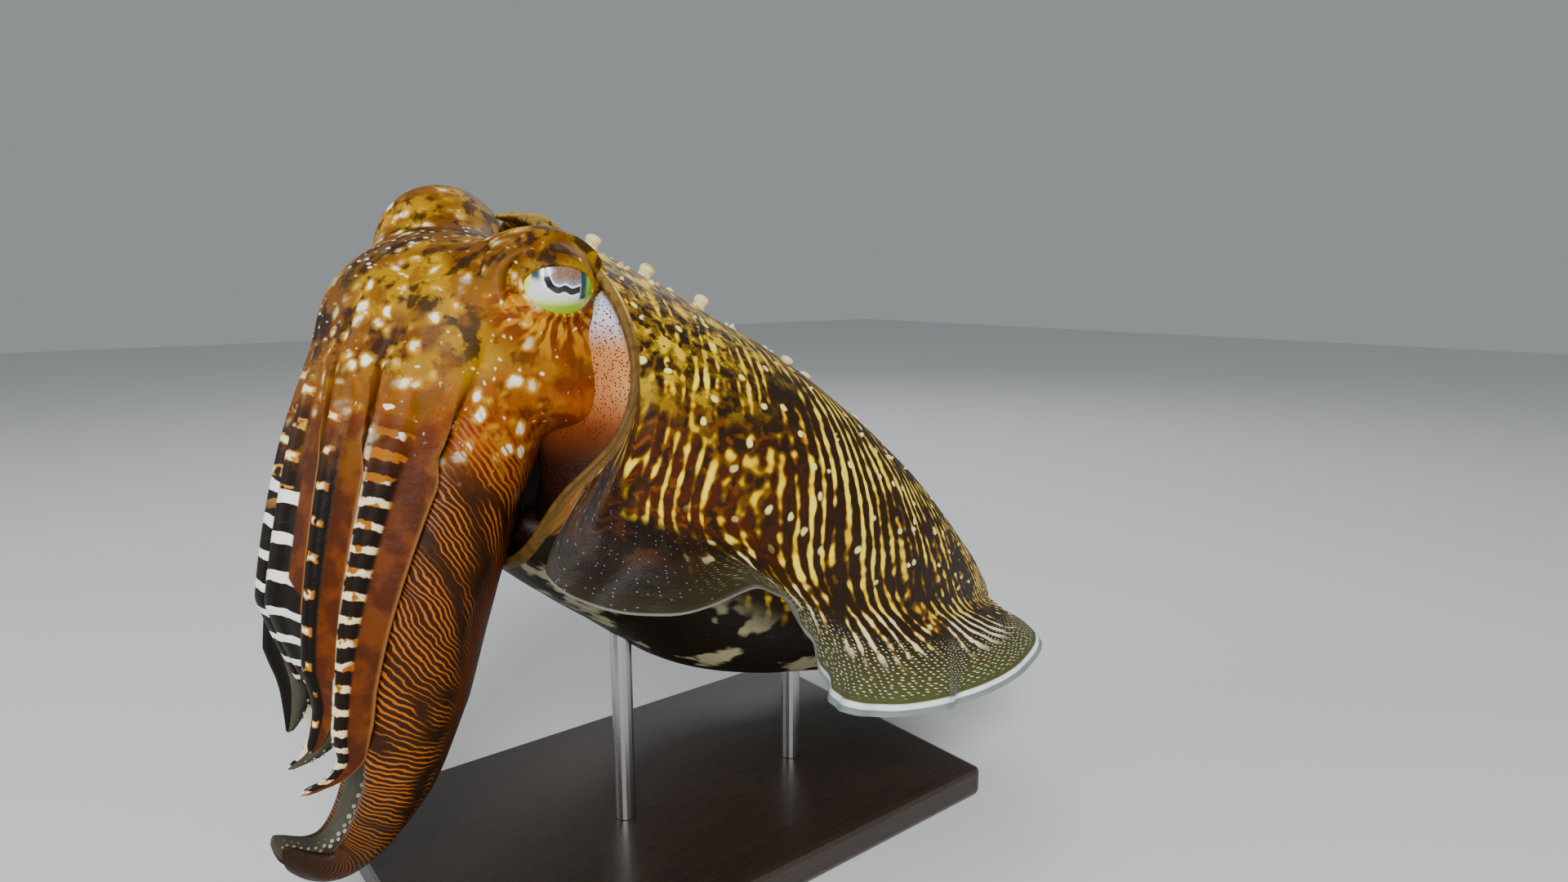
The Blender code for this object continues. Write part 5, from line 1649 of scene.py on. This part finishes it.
def knob_finish(name, light, dark):
    # The same skin drawn up into knobs: paler where it is stretched.
    material, tree, shader = finish(name, rough=0.5, under=0.08, gloss=0.3)
    place = object_mm(tree)
    cloud = node(tree, "TexNoise", {"Scale": 1 / 4.0, "Detail": 3.0}, {"Vector": place})
    shown = pigments(tree, light, [(dark, (cloud, 0.52, 0.62))])
    tree.links.new(shown.outputs[2], shader.inputs["Base Color"])
    wrinkle(tree, shader, place, coarse=2.0, fine=0.6, height=0.0002)
    return material


put_on(neck_finish(), neck, funnel)
put_on(knob_finish("pale knob skin", "#ecdba4", "#c9a04c"), papillae)
put_on(knob_finish("leaf skin", "#a5802c", "#4a3212"), leaf)
put_on(knob_finish("sucker rims", "#b4ae9c", "#8c8878"), suckers)

# %% [markdown]
# The stand is dark stained wood with two brushed steel rods. These solids already have the right
# shape, so only their materials are replaced.


# %% Stand
def stained_wood():
    # Oak stained nearly black under satin lacquer: streaks about 25 mm long and 2 mm apart, with
    # open pores 6 mm long and 0.4 mm wide, which is coarser than real ones so that they show.
    material, tree, shader = finish("stained oak", rough=0.45, coat=0.3, ior=1.5)
    space = node(tree, "TexCoord")
    grain_place = node(tree, "Mapping", {"Scale": (40.0, 520.0, 520.0)},
                       {"Vector": space.outputs["Object"]})
    grain = node(tree, "TexNoise", {"Scale": 1.0, "Detail": 4.0, "Distortion": 0.4},
                 {"Vector": grain_place})
    pores = node(tree, "Mapping", {"Scale": (160.0, 2600.0, 2600.0)},
                 {"Vector": space.outputs["Object"]})
    pore = node(tree, "TexNoise", {"Scale": 1.0, "Detail": 2.0}, {"Vector": pores})
    shown = pigments(tree, "#17110d", [("#3a2a20", (grain,)), ("#0c0806", (pore, 0.58, 0.66, 0.8))])
    tree.links.new(shown.outputs[2], shader.inputs["Base Color"])
    bump = node(tree, "Bump", {"Strength": 0.4, "Distance": 0.0003}, {"Height": pore})
    tree.links.new(bump.outputs[0], shader.inputs["Normal"])
    return material


def brushed_steel():
    # Turned stainless rod: rings 0.24 mm apart, coarser than real ones, stretch its highlights.
    material, tree, shader = finish("brushed stainless steel", rough=0.3, ior=1.5)
    shader.inputs["Metallic"].default_value = 1.0
    space = node(tree, "TexCoord")
    rings = node(tree, "Mapping", {"Scale": (60.0, 60.0, 4200.0)}, {"Vector": space.outputs["Object"]})
    brush = node(tree, "TexNoise", {"Scale": 1.0, "Detail": 3.0}, {"Vector": rings})
    tint = pigments(tree, "#9c9c9a", [("#c9c9c6", (brush,))])
    tree.links.new(tint.outputs[2], shader.inputs["Base Color"])
    rough = node(tree, "MapRange", {"To Min": 0.22, "To Max": 0.42}, {"Value": brush})
    tree.links.new(rough.outputs[0], shader.inputs["Roughness"])
    return material


wood, steel = stained_wood(), brushed_steel()
for name, stuff in (("stand_base", wood), ("stand_rod_front", steel), ("stand_rod_rear", steel)):
    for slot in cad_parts[name].material_slots:
        slot.material = stuff
print("materials:", sorted(m.name for m in bpy.data.materials if m.users)[:12])

# %% [markdown]
# A plain pale floor, three large soft lights and an even surround show the form without hard
# shadows. The camera stands in front of the animal, to its left, and looks slightly down.

# %% Floor, lights and camera
def build_stage():
    bm = bmesh.new()
    bmesh.ops.create_grid(bm, x_segments=1, y_segments=1, size=4.0)
    mesh = bpy.data.meshes.new("floor")
    bm.to_mesh(mesh)
    bm.free()
    floor = bpy.data.objects.new("floor", mesh)
    bpy.context.scene.collection.objects.link(floor)
    # Matt painted board, so that nothing shines but the animal.
    material = bpy.data.materials.new("matt painted board")
    material.use_nodes = True
    shader = material.node_tree.nodes["Principled BSDF"]
    shader.inputs["Base Color"].default_value = colour("#dddede")
    shader.inputs["Roughness"].default_value = 0.7
    mesh.materials.append(material)


def soft_light(name, place, aim, size, watts):
    """Round lamp of a diameter in metres that looks at a point."""
    data = bpy.data.lights.new(name, "AREA")
    data.shape = "DISK"
    data.size = size
    data.energy = watts
    lamp = bpy.data.objects.new(name, data)
    lamp.location = place
    lamp.rotation_euler = (Vector(aim) - Vector(place)).to_track_quat("-Z", "Y").to_euler()
    bpy.context.scene.collection.objects.link(lamp)


def build_camera(place, azimuth, down, focal_pixels):
    """Camera by the photograph's angles; the image is 1920 pixels wide."""
    data = bpy.data.cameras.new("camera")
    data.sensor_width = 36.0
    data.lens = focal_pixels * 36.0 / 1920
    data.clip_start = 0.01
    camera = bpy.data.objects.new("camera", data)
    camera.location = place
    camera.rotation_euler = (math.radians(90 - down), 0, math.radians(azimuth))
    bpy.context.scene.collection.objects.link(camera)
    bpy.context.scene.camera = camera


build_stage()
soft_light("key", place=(-0.8, -1.3, 1.2), aim=(0, 0, 0.2), size=0.9, watts=39)
soft_light("fill", place=(-1.4, 0.6, 0.8), aim=(-0.05, 0, 0.2), size=0.8, watts=8)
soft_light("rim", place=(1.0, 0.9, 1.3), aim=(0, 0, 0.2), size=0.9, watts=7)
world = bpy.context.scene.world or bpy.data.worlds.new("surround")
bpy.context.scene.world = world
world.use_nodes = True
world.node_tree.nodes["Background"].inputs["Color"].default_value = colour("#ced4d7")
world.node_tree.nodes["Background"].inputs["Strength"].default_value = 0.46
build_camera(place=(-0.235, -0.385, 0.275), azimuth=-39, down=10, focal_pixels=1150)
